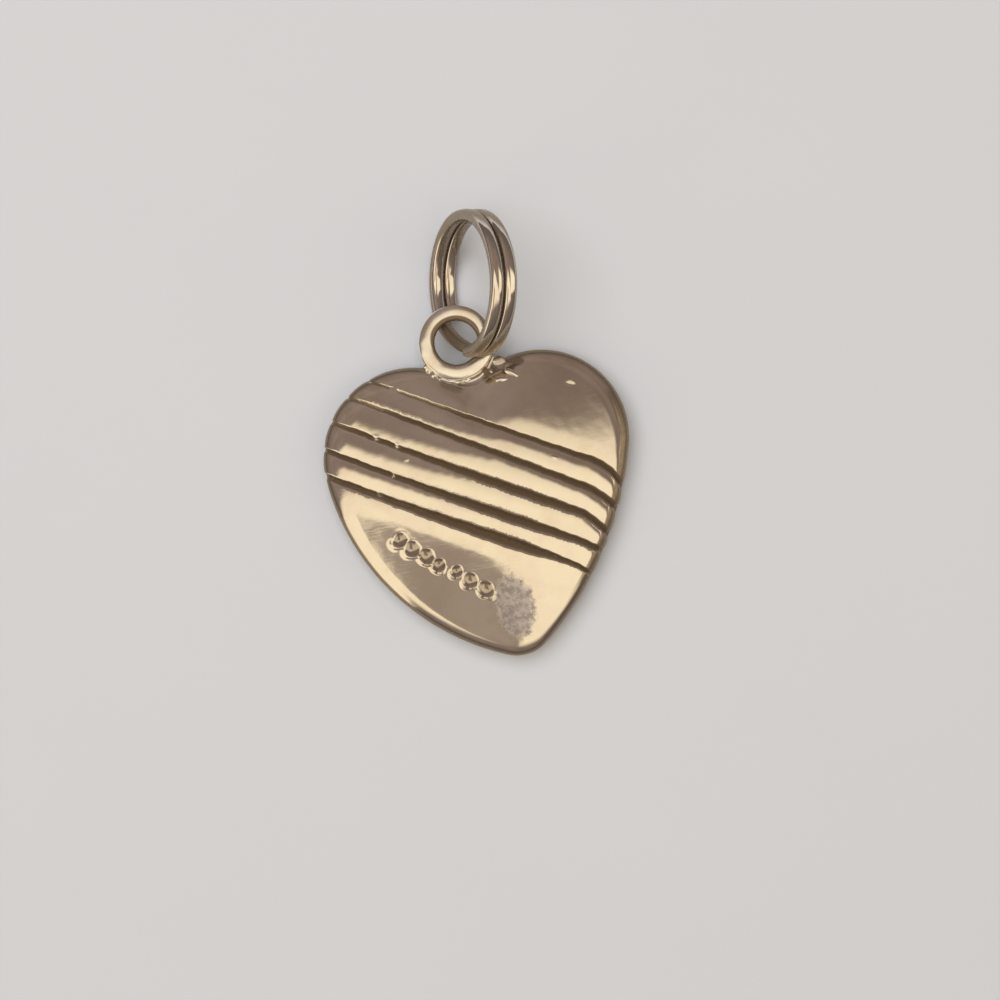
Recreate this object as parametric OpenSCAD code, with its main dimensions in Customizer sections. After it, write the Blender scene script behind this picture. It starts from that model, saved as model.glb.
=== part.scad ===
// Heart charm: a cast, domed heart lying on its flat back, with a bail soldered
// into its cleft and a two-turn split ring through the bail.
// The origin is at the middle of the heart's flat back, +Z up through the face,
// +Y from the tip to the bail, +X to the right seen from above.

/* [Heart] */
// Radius of the right lobe
right_lobe_r = 4.35; // [4.0:0.05:4.7]
// Radius of the left lobe
left_lobe_r = 4.5; // [4.1:0.05:4.8]
// Radius of the rounded tip
tip_r = 1.95; // [1.5:0.05:2.4]
// Radius of the right flank, from lobe to tip
right_flank_r = 17; // [14:0.5:22]
// Radius of the left flank, from lobe to tip
left_flank_r = 12; // [11:0.5:20]
// Radius of the fillet in the cleft between the lobes
cleft_r = 1; // [0.6:0.05:1.4]
// Greatest thickness of the heart, back to crown
heart_t = 2.3; // [1.9:0.05:2.8]
// Height of the side wall, where the rounded shoulder begins
side_h = 1.15; // [0.8:0.05:1.3]
// Height of the rounded shoulder above the side wall
shoulder_h = 0.5; // [0.3:0.05:0.6]
// Width of the rounded shoulder round the face
shoulder_w = 0.5; // [0.3:0.05:0.7]
// Size of the small bevel round the back
back_bevel = 0.15; // [0.05:0.05:0.25]

/* [Grooves] */
// Width of a groove at the surface
groove_w = 0.44; // [0.3:0.02:0.6]
// Depth of a groove below the surface
groove_d = 0.32; // [0.2:0.02:0.45]
// Slope of the grooves, falling to the right
groove_slope = 32; // [26:1:38]
// How far the upper grooves droop as they reach the right edge
groove_droop = 0.35; // [0:0.05:0.5]

/* [Bail] */
// Wire thickness of the bail
bail_wire = 0.8; // [0.7:0.02:0.82]
// Radius of the bail to the middle of its wire
bail_r = 1.47; // [1.4:0.01:1.6]
// Height of the bail's middle plane above the back
bail_z = 1.7; // [1.65:0.05:1.8]

/* [Split ring] */
// Wire thickness of the split ring, from its inside to its outside
ring_wire = 0.55; // [0.45:0.01:0.57]
// Width of the same wire, along the ring's axis
ring_wire_w = 0.64; // [0.56:0.02:0.68]
// Gap between the two turns
ring_gap = 0.06; // [0.04:0.01:0.08]
// Radius of the split ring to the middle of its wire
ring_r = 3.3; // [3.24:0.02:3.36]
// Lean of the ring's plane from upright
ring_lean = 27; // [26:0.1:27.6]
// Turn of the ring's long axis, clockwise from +Y
ring_turn = 7.8; // [7:0.1:8.4]

/* [Hidden] */
silver = [0.80, 0.75, 0.66];
bright_silver = [0.72, 0.68, 0.62];

// Places of the lobes, the tip, the bail and the ring, from the middle of the back
right_lobe = [3.0, 2.1];
left_lobe = [-3.4, 2.35];
tip = [0, -6.35];
bail_at = [-0.2, 7.5];
ring_at = [1.14, 10.02];

// Each groove from the top down: how far it lies from the middle, its own small turn,
// how far its ends bow up, and the part of the droop that it takes
//  [across, turn, bow, droop]
groove_table = [
    [3.07, 1.1, 0.08, 1],
    [1.84, -0.2, 0, 0.8],
    [0.46, 1.0, 0.08, 1],
    [-0.92, 1.4, 0.1, 0.3],
    [-2.07, 1.5, 0.07, 0.5],
];
function groove_across(k) = groove_table[k][0];
function groove_turn(k) = groove_table[k][1];
function groove_bow(k) = groove_table[k][2];
function groove_droops(k) = groove_table[k][3];
groove_half_length = 7;
groove_bend = 4.2;
groove_bend_length = 1.6;
groove_steps = 12;
groove_foot = 0.35;
clear_of_face = 0.35;

// Where two circles cross: the crossing on the left of the way from a to b
function crossing(a, ra, b, rb) =
    let (
        gap = b - a,
        d = norm(gap),
        along = (d * d + ra * ra - rb * rb) / (2 * d),
        off = sqrt(ra * ra - along * along)
    )
    a + (gap * along + [-gap.y, gap.x] * off) / d;

// Each arc of the outline is [centre, radius, which crossing of a ray from the origin]
right_flank = crossing(tip, right_flank_r - tip_r, right_lobe, right_flank_r - right_lobe_r);
left_flank = crossing(left_lobe, left_flank_r - left_lobe_r, tip, left_flank_r - tip_r);
cleft = crossing(left_lobe, left_lobe_r + cleft_r, right_lobe, right_lobe_r + cleft_r);
arcs = [
    [right_flank, right_flank_r, 1],
    [right_lobe, right_lobe_r, 1],
    [cleft, cleft_r, -1],
    [left_lobe, left_lobe_r, 1],
    [left_flank, left_flank_r, 1],
    [tip, tip_r, 1],
];

// Direction of a point, from 0 to 360, counted from straight down
function bearing(p) = (atan2(p.y, p.x) + 450) % 360;

// Where each arc ends and the next one begins, as bearings from the origin
function joint_of(big, big_r, small) = bearing(big + (small - big) / norm(small - big) * big_r);
joints = [
    joint_of(right_flank, right_flank_r, right_lobe),
    joint_of(right_lobe, right_lobe_r, cleft),
    joint_of(left_lobe, left_lobe_r, cleft),
    joint_of(left_flank, left_flank_r, left_lobe),
    joint_of(left_flank, left_flank_r, tip),
    360 + joint_of(right_flank, right_flank_r, tip),
];
function arc_at(b, i = 0) = i >= 5 || b < joints[i] ? min(i, 5) : arc_at(b, i + 1);
function arc_for(b) = b < joints[5] - 360 ? 5 : arc_at(b);

// Distance from the origin to the outline, in the direction dir
function reach(dir) =
    let (
        arc = arcs[arc_for(bearing(dir))],
        along = arc[0] * dir
    )
    along + arc[2] * sqrt(along * along - arc[0] * arc[0] + arc[1] * arc[1]);

// Level lines of the face run from the outline at 1 to a round middle at 0
middle_r = 6.3;
function level_r(edge_r, t) = t * (middle_r + (edge_r - middle_r) * t * t);
function level_slope(edge_r, t) = middle_r + 3 * (edge_r - middle_r) * t * t;
function level_of(far, edge_r, t, rounds = 5) =
    rounds == 0 ? t : level_of(
        far, edge_r, t - (level_r(edge_r, t) - far) / level_slope(edge_r, t), rounds - 1);
function level(p) =
    let (far = norm(p), edge_r = reach(p / far))
    level_of(far, edge_r, far / edge_r);

// Height of the face at a level: a rounded shoulder outside, a shallow dome inside
shoulder_level = 1 - shoulder_w / middle_r;
shoulder_top = side_h + shoulder_h;
function face_z(t) =
    t < shoulder_level
        ? shoulder_top + (heart_t - shoulder_top) * (1 - pow(t / shoulder_level, 2))
        : side_h + shoulder_h * sqrt(max(0, 1 - pow((t - shoulder_level) / (1 - shoulder_level), 2)));

// The rings of the heart's surface, from the back up to the crown: [level, height]
ring_points = 120;
dome_rings = 9;
shoulder_rings = 5;
back_level = 1 - back_bevel / middle_r;
shell = concat(
    [[back_level, 0], [1, back_bevel]],
    [for (i = [0 : shoulder_rings - 1])
        let (t = shoulder_level + (1 - shoulder_level) * cos(90 * i / shoulder_rings))
        [t, face_z(t)]],
    [for (i = [0 : dome_rings - 1])
        let (t = shoulder_level * (1 - i / dome_rings))
        [t, face_z(t)]]
);

function shell_point(ring, i) =
    let (
        a = i * 360 / ring_points,
        dir = [cos(a), sin(a)],
        far = level_r(reach(dir), ring[0])
    )
    [far * dir.x, far * dir.y, ring[1]];

// Closed skin over rings of points, with a middle point at each end
module skin(rings, first, last) {
    n = len(rings[0]);
    m = len(rings);
    points = concat([for (ring = rings) each ring], [first, last]);
    sides = [for (j = [0 : m - 2], i = [0 : n - 1])
        let (a = j * n + i, b = j * n + (i + 1) % n)
        each [[a, a + n, b + n], [a, b + n, b]]];
    starts = [for (i = [0 : n - 1]) [m * n, i, (i + 1) % n]];
    ends = [for (i = [0 : n - 1]) [m * n + 1, (m - 1) * n + (i + 1) % n, (m - 1) * n + i]];
    polyhedron(points, concat(sides, starts, ends));
}

module cast_heart() {
    skin(
        [for (ring = shell) [for (i = [0 : ring_points - 1]) shell_point(ring, i)]],
        [0, 0, 0],
        [0, 0, heart_t]
    );
}

// Where groove k runs: its place on the face at a distance along it
function groove_xy(k, along) =
    let (
        slope = groove_turn(k) - groove_slope,
        droop = groove_droops(k) * groove_droop
            * pow(max(0, along - groove_bend) / groove_bend_length, 2),
        bow = groove_bow(k) * pow(along / groove_half_length, 2),
        across = groove_across(k) + bow - droop
    )
    [along * cos(slope) - across * sin(slope), along * sin(slope) + across * cos(slope)];

// How far along groove k its run leaves the heart, found by halving
function groove_end(k, inside, outside, rounds = 14) =
    let (middle = (inside + outside) / 2)
    rounds == 0 ? middle
        : level(groove_xy(k, middle)) < 1 ? groove_end(k, middle, outside, rounds - 1)
        : groove_end(k, inside, middle, rounds - 1);

// A pointed tool that leans out along the groove, its point one groove depth inside
module graver(at, lean) {
    tool_h = groove_d + clear_of_face;
    translate(at)
        rotate([0, 0, -groove_slope])
            rotate([0, lean, 0])
                translate([0, 0, -groove_d])
                    cylinder(h = tool_h, r1 = 0, r2 = groove_w / 2 * tool_h / groove_d, $fn = 4);
}

// Stops of the tool along groove k: up one side, over the face, down the other
function groove_stops(k) =
    let (
        left = groove_end(k, 0, -10),
        right = groove_end(k, 0, 10),
        run = (right - shoulder_w - left - shoulder_w) / groove_steps,
        left_xy = groove_xy(k, left),
        right_xy = groove_xy(k, right),
        left_turn = groove_xy(k, left + shoulder_w * 0.3),
        right_turn = groove_xy(k, right - shoulder_w * 0.3)
    )
    concat(
        [[[left_xy.x, left_xy.y, groove_foot], -90],
         [[left_xy.x, left_xy.y, side_h], -75],
         [[left_turn.x, left_turn.y, side_h + shoulder_h * 0.7], -40]],
        [for (i = [0 : groove_steps])
            let (p = groove_xy(k, left + shoulder_w + run * i))
            [[p.x, p.y, face_z(level(p))], 0]],
        [[[right_turn.x, right_turn.y, side_h + shoulder_h * 0.7], 40],
         [[right_xy.x, right_xy.y, side_h], 75],
         [[right_xy.x, right_xy.y, groove_foot], 90]]
    );

module groove(k) {
    stops = groove_stops(k);
    for (i = [0 : len(stops) - 2])
        hull() {
            graver(stops[i][0], stops[i][1]);
            graver(stops[i + 1][0], stops[i + 1][1]);
        }
}

module bail() {
    translate([bail_at.x, bail_at.y, bail_z])
        rotate_extrude($fn = 48)
            translate([bail_r, 0])
                circle(d = bail_wire, $fn = 16);
}

// Solder drawn up between the bail and the lobes, as [side, height, radius] stops
solder_stops = [[-55, 1.15, 0.3], [-25, 1.05, 0.38], [0, 1.05, 0.42], [25, 1.05, 0.38], [55, 1.15, 0.3]];
module solder() {
    for (i = [0 : len(solder_stops) - 2])
        hull()
            for (stop = [solder_stops[i], solder_stops[i + 1]])
                translate([
                    bail_at.x + (bail_r + 0.1) * sin(stop[0]),
                    bail_at.y - (bail_r + 0.1) * cos(stop[0]),
                    stop[1]
                ])
                    sphere(r = stop[2], $fn = 16);
}

// Beads of solder that ran onto the right lobe beside the bail: [x, y, radius]
bead_table = [[1.2, 5.85, 0.27], [1.6, 5.3, 0.3], [2.08, 5.4, 0.24]];
module solder_beads() {
    for (bead = bead_table)
        translate([bead[0], bead[1], face_z(level([bead[0], bead[1]])) - bead[2] * 0.4])
            sphere(r = bead[2], $fn = 16);
}

module heart() {
    color(silver) {
        difference() {
            cast_heart();
            for (k = [0 : len(groove_table) - 1])
                groove(k);
        }
        bail();
        solder();
        solder_beads();
    }
}

// The split ring: two turns side by side, which change places in a short crank
crank_at = 215;
crank_angle = 64;
ring_sides = 12;
ring_steps_per_turn = 44;
ring_pitch = ring_wire_w + ring_gap;
ring_foot = norm([ring_wire * cos(ring_lean), ring_wire_w * sin(ring_lean)]) / 2;
ring_z = ring_r * cos(ring_lean) + ring_pitch / 2 * sin(ring_lean) + ring_foot;

// Offset across the ring at an angle along its run, eased through the crank
function crank_ease(u) = u <= 0 ? 0 : u >= 1 ? 1 : u * u * (3 - 2 * u);
function ring_side(run) = ring_pitch * (0.5 - crank_ease((run - 360 + crank_angle) / crank_angle));

ring_run = 720 - crank_angle;
ring_steps = round(ring_run / 360 * ring_steps_per_turn);
function ring_hoop(j) =
    let (run = ring_run * j / ring_steps, at = crank_at + crank_angle / 2 + run)
    [for (i = [0 : ring_sides - 1])
        let (
            a = i * 360 / ring_sides,
            far = ring_r + ring_wire / 2 * cos(a),
            side = ring_side(run) - ring_wire_w / 2 * sin(a)
        )
        [far * cos(at), far * sin(at), side]];
function ring_middle(j) =
    let (run = ring_run * j / ring_steps, at = crank_at + crank_angle / 2 + run)
    [ring_r * cos(at), ring_r * sin(at), ring_side(run)];

module split_ring() {
    color(bright_silver)
        translate([ring_at.x, ring_at.y, ring_z])
            rotate([0, 0, 90 - ring_turn])
                rotate([90 + ring_lean, 0, 0])
                    skin(
                        [for (j = [0 : ring_steps]) ring_hoop(j)],
                        ring_middle(0),
                        ring_middle(ring_steps)
                    );
}

heart();
split_ring();
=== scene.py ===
"""Heart charm: a cast, grooved silver heart, its soldered bail and a two-turn split ring.

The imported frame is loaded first. Each piece is modelled in millimetres in that frame and then
brought to metres, so its object stays at the origin. X is right, Y runs from the heart's tip to
its bail, and Z points up through the face.
"""

import logging
import math
from collections.abc import Callable, Mapping, Sequence
from dataclasses import dataclass
from enum import Enum
from typing import Any

import bmesh
import bpy
import numpy as np
from mathutils import Matrix, Vector, noise


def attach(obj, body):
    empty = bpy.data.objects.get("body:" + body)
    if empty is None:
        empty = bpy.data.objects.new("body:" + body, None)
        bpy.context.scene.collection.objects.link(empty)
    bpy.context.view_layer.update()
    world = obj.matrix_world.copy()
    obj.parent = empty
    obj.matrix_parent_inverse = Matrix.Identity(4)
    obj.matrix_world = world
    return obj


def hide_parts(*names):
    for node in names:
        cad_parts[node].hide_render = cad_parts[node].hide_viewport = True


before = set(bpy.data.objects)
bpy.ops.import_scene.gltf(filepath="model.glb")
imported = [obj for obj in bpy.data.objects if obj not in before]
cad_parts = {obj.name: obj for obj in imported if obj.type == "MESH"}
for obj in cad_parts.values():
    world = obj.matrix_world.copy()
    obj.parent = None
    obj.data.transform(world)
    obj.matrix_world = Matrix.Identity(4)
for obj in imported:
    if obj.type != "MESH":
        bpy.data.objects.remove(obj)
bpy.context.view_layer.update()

MM = 0.001
BODY = "root"
Colour = tuple[float, float, float]
Point2 = tuple[float, float]
Point3 = tuple[float, float, float]

log = logging.getLogger("heart_charm")


class Slot(Enum):
    """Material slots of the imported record."""

    CAST_SILVER = "cast_silver"
    RING_SILVER = "ring_silver"


class CadNode(Enum):
    """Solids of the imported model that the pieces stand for."""

    HEART = "heart"
    SPLIT_RING = "split_ring"


def smooth_rise(value: np.ndarray, start: float, end: float) -> np.ndarray:
    """Eases from 0 at start to 1 at end.

    Args:
        value: Where to evaluate the step.
        start: Where it leaves 0.
        end: Where it reaches 1.

    Returns:
        The eased share for each value.
    """
    share = np.clip((value - start) / (end - start), 0.0, 1.0)
    return share * share * (3.0 - 2.0 * share)


def turned(vector: Point2, degrees: float) -> Point2:
    """Turns a flat vector anticlockwise.

    Args:
        vector: The vector to turn.
        degrees: The angle to turn it by.

    Returns:
        The turned vector.
    """
    c, s = math.cos(math.radians(degrees)), math.sin(math.radians(degrees))
    return vector[0] * c - vector[1] * s, vector[0] * s + vector[1] * c


def stand_in_scene(name: str, data: bpy.types.ID) -> bpy.types.Object:
    """Makes an object and puts it in the scene.

    Args:
        name: The object's name.
        data: Its mesh, camera or light.

    Returns:
        The object.
    """
    made = bpy.data.objects.new(name, data)
    bpy.context.scene.collection.objects.link(made)
    return made


class Value:
    """A node socket that Python's operators extend with Math nodes."""

    def __init__(self, graph: "Graph", socket: bpy.types.NodeSocket | None) -> None:
        """Keeps the graph and the socket that the value comes from."""
        self.graph = graph
        self.socket = socket

    def __add__(self, other: "Value | float") -> "Value":
        """Adds a value or a number."""
        return self.graph.math("ADD", self, other)

    def __radd__(self, other: float) -> "Value":
        """Adds the value to a number."""
        return self.graph.math("ADD", other, self)

    def __sub__(self, other: "Value | float") -> "Value":
        """Takes a value or a number away."""
        return self.graph.math("SUBTRACT", self, other)

    def __rsub__(self, other: float) -> "Value":
        """Takes the value away from a number."""
        return self.graph.math("SUBTRACT", other, self)

    def __mul__(self, other: "Value | float") -> "Value":
        """Multiplies by a value or a number."""
        return self.graph.math("MULTIPLY", self, other)

    def __rmul__(self, other: float) -> "Value":
        """Multiplies a number by the value."""
        return self.graph.math("MULTIPLY", other, self)

    def __truediv__(self, other: "Value | float") -> "Value":
        """Divides by a value or a number."""
        return self.graph.math("DIVIDE", self, other)

    def __pow__(self, other: float) -> "Value":
        """Raises to a power."""
        return self.graph.math("POWER", self, other)

    def at_least(self, low: float) -> "Value":
        """The larger of the value and a number."""
        return self.graph.math("MAXIMUM", self, low)

    def at_most(self, high: float) -> "Value":
        """The smaller of the value and a number."""
        return self.graph.math("MINIMUM", self, high)

    def cosine(self) -> "Value":
        """The cosine of the value in radians."""
        return self.graph.math("COSINE", self)

    def sine(self) -> "Value":
        """The sine of the value in radians."""
        return self.graph.math("SINE", self)

    def other(self, output: str) -> "Value":
        """Another output of the same node."""
        return Value(self.graph, self.socket.node.outputs[output])

    def rise(self, start: float, end: float) -> "Value":
        """Eases from 0 where the value is start to 1 where it is end.

        Args:
            start: Value that gives 0.
            end: Value that gives 1. It may lie below start.

        Returns:
            The eased share.
        """
        flip = end < start
        low, high = (end, start) if flip else (start, end)
        share = self.graph.node(
            "ShaderNodeMapRange",
            {"interpolation_type": "SMOOTHSTEP"},
            {"Value": self, "From Min": low, "From Max": high},
        )
        return 1.0 - share if flip else share


class Graph:
    """A node tree that is written as expressions."""

    def __init__(self, tree: bpy.types.NodeTree) -> None:
        """Empties the tree and keeps it."""
        self.tree = tree
        tree.nodes.clear()

    def node(
        self,
        kind: str,
        settings: Mapping[str, Any] | None = None,
        inputs: Mapping[str | int, Any] | None = None,
        output: str | int = 0,
    ) -> Value:
        """Adds a node.

        Args:
            kind: The node's type name.
            settings: Its settings, which are set first.
            inputs: Values or links for its input sockets, by name or place.
            output: The output that the returned value reads.

        Returns:
            The chosen output, or an empty value for a node that has none.
        """
        made = self.tree.nodes.new(kind)
        for key, setting in (settings or {}).items():
            setattr(made, key, setting)
        for key, given in (inputs or {}).items():
            if isinstance(given, Value):
                self.tree.links.new(given.socket, made.inputs[key])
            else:
                made.inputs[key].default_value = given
        return Value(self, made.outputs[output] if len(made.outputs) else None)

    def math(self, operation: str, *terms: "Value | float") -> Value:
        """Adds a Math node over values and numbers."""
        return self.node("ShaderNodeMath", {"operation": operation}, dict(enumerate(terms)))

    def mix(self, share: "Value | float", first: Any, second: Any) -> Value:
        """Mixes two colours.

        Args:
            share: How much of the second colour shows.
            first: The first colour, a value or numbers.
            second: The second colour, a value or numbers.

        Returns:
            The mixed colour.
        """
        first, second = (c if isinstance(c, Value) else (*c, 1.0) for c in (first, second))
        return self.node(
            "ShaderNodeMix", {"data_type": "RGBA"}, {0: share, 6: first, 7: second}, output=2
        )

    def mapped(
        self, place: Value, scale: Point3, turn: float = 0.0, shift: Point3 = (0.0, 0.0, 0.0)
    ) -> Value:
        """Scales, turns and shifts coordinates.

        Args:
            place: The coordinates.
            scale: Their scale along each axis.
            turn: Their turn about Z, in degrees.
            shift: How far they are shifted.

        Returns:
            The new coordinates.
        """
        return self.node(
            "ShaderNodeMapping",
            inputs={
                "Vector": place, "Location": shift,
                "Rotation": (0.0, 0.0, math.radians(turn)), "Scale": scale,
            },
        )

    def split(self, place: Value) -> Value:
        """The X of a vector, whose other outputs are Y and Z."""
        return self.node("ShaderNodeSeparateXYZ", inputs={0: place})

    def joined(self, **parts: "Value | float") -> Value:
        """A vector from some of X, Y and Z, the others being 0."""
        return self.node("ShaderNodeCombineXYZ", inputs=parts)

    def scaled(self, vector: Value, factor: Value) -> Value:
        """Scales a vector.

        Args:
            vector: The vector.
            factor: What it is multiplied by.

        Returns:
            The scaled vector.
        """
        return self.node(
            "ShaderNodeVectorMath", {"operation": "SCALE"}, {0: vector, "Scale": factor}
        )

    def noise(self, place: Value, scale: float, detail: float, rough: float = 0.5) -> Value:
        """Adds a noise pattern.

        Args:
            place: Its coordinates.
            scale: Repeats in a unit of the coordinates.
            detail: Octaves.
            rough: How strong the fine octaves are.

        Returns:
            The noise, about 0.5 on the average.
        """
        return self.node(
            "ShaderNodeTexNoise",
            inputs={"Vector": place, "Scale": scale, "Detail": detail, "Roughness": rough},
        )


@dataclass(frozen=True)
class Finish:
    """A finish, whose sockets each kind of finish works out.

    Attributes:
        name: The material's name.
    """

    name: str

    def sockets(self, graph: Graph) -> dict[str, Any]:
        """Values of the surface's sockets, which a plain finish leaves as they are."""
        return {}

    def material(self) -> bpy.types.Material:
        """Builds the material.

        Returns:
            A Principled surface with the finish's sockets.
        """
        made = bpy.data.materials.new(self.name)
        made.use_nodes = True
        graph = Graph(made.node_tree)
        shader = graph.node("ShaderNodeBsdfPrincipled", inputs=self.sockets(graph))
        graph.node("ShaderNodeOutputMaterial", inputs={"Surface": shader})
        return made


@dataclass(frozen=True)
class SilverFinish(Finish):
    """Polished, slightly tarnished silver, with patina where the casting is sunk, and painted shade.

    Attributes:
        metal: Colour of the polished metal.
        blush: Colour of the metal where it is a little pinker.
        tarnish: Colour of the thin tarnish that clouds it.
        patina: Colour of the dark patina in grooves and pits, and of the painted shade and
            reflections.
        stain_dark: Darker colour of the matt stain.
        stain_pale: Its paler colour.
        gloss_rough: Roughness of the polished metal.
        rough_spread: How much the roughness wanders.
        stain_rough: How much rougher the stain is.
        tarnish_share: The most that the tarnish covers.
        scratch_depth: Depth of the fine wear scratches, in millimetres.
        ripple_depth: Depth of the slow unevenness, in millimetres.
        brush_depth: Depth of the polishing streaks, in millimetres.
        skin_depth: Depth of the metal's fine skin, in millimetres.
        stain_at: Centre of a matt grey stain, in millimetres, or None.
        stain_size: The stain's half width and half length.
    """

    metal: Colour = (0.95, 0.90, 0.80)
    blush: Colour = (0.93, 0.86, 0.79)
    tarnish: Colour = (0.72, 0.60, 0.46)
    patina: Colour = (0.28, 0.21, 0.14)
    stain_dark: Colour = (0.40, 0.37, 0.41)
    stain_pale: Colour = (0.68, 0.65, 0.69)
    gloss_rough: float = 0.075
    rough_spread: float = 0.05
    stain_rough: float = 0.30
    tarnish_share: float = 0.25
    scratch_depth: float = 0.00018
    ripple_depth: float = 0.0035
    brush_depth: float = 0.00018
    skin_depth: float = 0.0006
    stain_at: Point2 | None = None
    stain_size: Point2 = (1.05, 1.7)

    # Each noise is its repeats in a millimetre, its octaves and how strong the fine ones are.
    CLOUDS = (0.7, 4.0, 0.6)
    MOTTLE = (3.5, 3.0, 0.6)
    GRIT = (14.0, 2.0, 0.5)
    BLUSHES = (0.55, 2.0, 0.5)
    WAVES = (1.1, 1.0, 0.4)
    # Each set of scratches is its direction in degrees and a shift that sets it apart.
    SCRATCHES = ((24.0, 3.0), (-38.0, 9.0), (71.0, 15.0))
    SCRATCH_SCALE = (0.5, 22.0, 0.5)
    BRUSH_SCALE, BRUSH_TURN = (0.9, 8.0, 0.9), 14.0
    # Edges are the values at which a cover starts and is full.
    TARNISH_EDGES = (0.42, 0.75)
    SPECK_EDGES, SPECK_SHARE = (0.55, 0.8), 0.12
    BLUSH_EDGES = (0.45, 0.62)
    PATINA_EDGES = (0.2, 0.8)
    MURK_EDGES = (0.40, 0.60)
    STAIN_EDGES, STAIN_COVER = (1.08, 0.72), 0.92
    SCRATCH_EDGES = (0.66, 0.74)
    LEAST_ROUGH, MOST_ROUGH = 0.045, 0.9

    def sockets(self, graph: Graph) -> dict[str, Any]:
        """Works out the metal's colour, roughness and bump over the piece.

        Args:
            graph: The material's graph.

        Returns:
            Values of the surface's sockets.
        """
        bench = graph.node("ShaderNodeTexCoord", output="Object")
        place = graph.mapped(bench, (1 / MM, 1 / MM, 1 / MM))
        # The patina attribute: real patina in grooves and dimples, plus painted shade and dark
        # reflections.
        sunk = graph.node("ShaderNodeAttribute", {"attribute_name": "patina"}, output="Fac")
        clouds, mottle = graph.noise(place, *self.CLOUDS), graph.noise(place, *self.MOTTLE)
        grit = graph.noise(place, *self.GRIT)
        specks = mottle.rise(*self.SPECK_EDGES) * self.SPECK_SHARE
        tarnish = clouds.rise(*self.TARNISH_EDGES) * self.tarnish_share + specks
        dark = (sunk * (0.9 + mottle * 0.2)).rise(*self.PATINA_EDGES)
        blush = graph.noise(place, *self.BLUSHES).rise(*self.BLUSH_EDGES)
        colour = graph.mix(tarnish, graph.mix(blush, self.metal, self.blush), self.tarnish)
        rough = self.gloss_rough + (clouds - 0.5) * self.rough_spread + (grit - 0.5) * 0.05
        if self.stain_at is not None:
            stain = self._stain(graph, place, mottle, grit)
            murk = (clouds * 0.3 + mottle * 0.6 + grit * 0.1).rise(*self.MURK_EDGES)
            stained = graph.mix(murk, self.stain_dark, self.stain_pale)
            colour = graph.mix(stain * self.STAIN_COVER, colour, stained)
            rough = rough + stain * self.stain_rough
        rough = (rough + dark ** 5.0 * 0.3).at_least(self.LEAST_ROUGH).at_most(self.MOST_ROUGH)
        return {
            "Base Color": graph.mix(dark, colour, self.patina),
            "Metallic": 1.0 - dark ** 3.0 * 0.35,
            "Roughness": rough,
            "Normal": self._bump(graph, place, mottle),
        }

    def _stain(self, graph: Graph, place: Value, mottle: Value, grit: Value) -> Value:
        """Masks the matt grey stain near the tip.

        Args:
            graph: The material's graph.
            place: Coordinates in millimetres.
            mottle: Noise that breaks up its outline.
            grit: Fine noise that speckles it.

        Returns:
            1 inside the stain and 0 outside it.
        """
        split = graph.split(place)
        across = (split - self.stain_at[0]) / self.stain_size[0]
        along = (split.other("Y") - self.stain_at[1]) / self.stain_size[1]
        far = (across * across + along * along) ** 0.5
        ragged = far + (mottle - 0.5) * 0.7 + (grit - 0.5) * 0.12
        return ragged.rise(*self.STAIN_EDGES)

    def _bump(self, graph: Graph, place: Value, mottle: Value) -> Value:
        """Builds the bump of polishing ripples and fine scratches.

        Args:
            graph: The material's graph.
            place: Coordinates in millimetres.
            mottle: Noise for the skin.

        Returns:
            The bumped normal.
        """
        lines = []
        for turn, shift in self.SCRATCHES:
            streaks = graph.mapped(place, self.SCRATCH_SCALE, turn, (shift, shift, 0.0))
            lines.append(graph.noise(streaks, 1.0, 1.0).rise(*self.SCRATCH_EDGES))
        scratches = lines[0] + lines[1] + lines[2]
        wiped = graph.mapped(place, self.BRUSH_SCALE, self.BRUSH_TURN)
        brush = graph.noise(wiped, 1.0, 2.0, 0.6)
        height = (
            graph.noise(place, *self.WAVES) * self.ripple_depth + mottle * self.skin_depth
            + brush * self.brush_depth - scratches * self.scratch_depth
        )
        return graph.node(
            "ShaderNodeBump", inputs={"Height": height, "Strength": 1.0, "Distance": MM}
        )


@dataclass(frozen=True)
class FloorFinish(Finish):
    """Plain pale matt floor with a very faint mottle.

    Attributes:
        name: The material's name.
        paint: Its colour.
        rough: Its roughness.
        mottle: How much darker its darkest spots are.
    """

    name: str = "pale_floor"
    paint: Colour = (0.70, 0.735, 0.80)
    rough: float = 0.7
    mottle: float = 0.03

    def sockets(self, graph: Graph) -> dict[str, Any]:
        """Works out the floor's colour.

        Args:
            graph: The material's graph.

        Returns:
            Values of the surface's sockets.
        """
        spots = graph.noise(graph.node("ShaderNodeTexCoord", output="Object"), 60.0, 3.0)
        shade = tuple(channel * (1.0 - self.mottle) for channel in self.paint)
        return {"Base Color": graph.mix(spots, shade, self.paint), "Roughness": self.rough}


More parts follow.
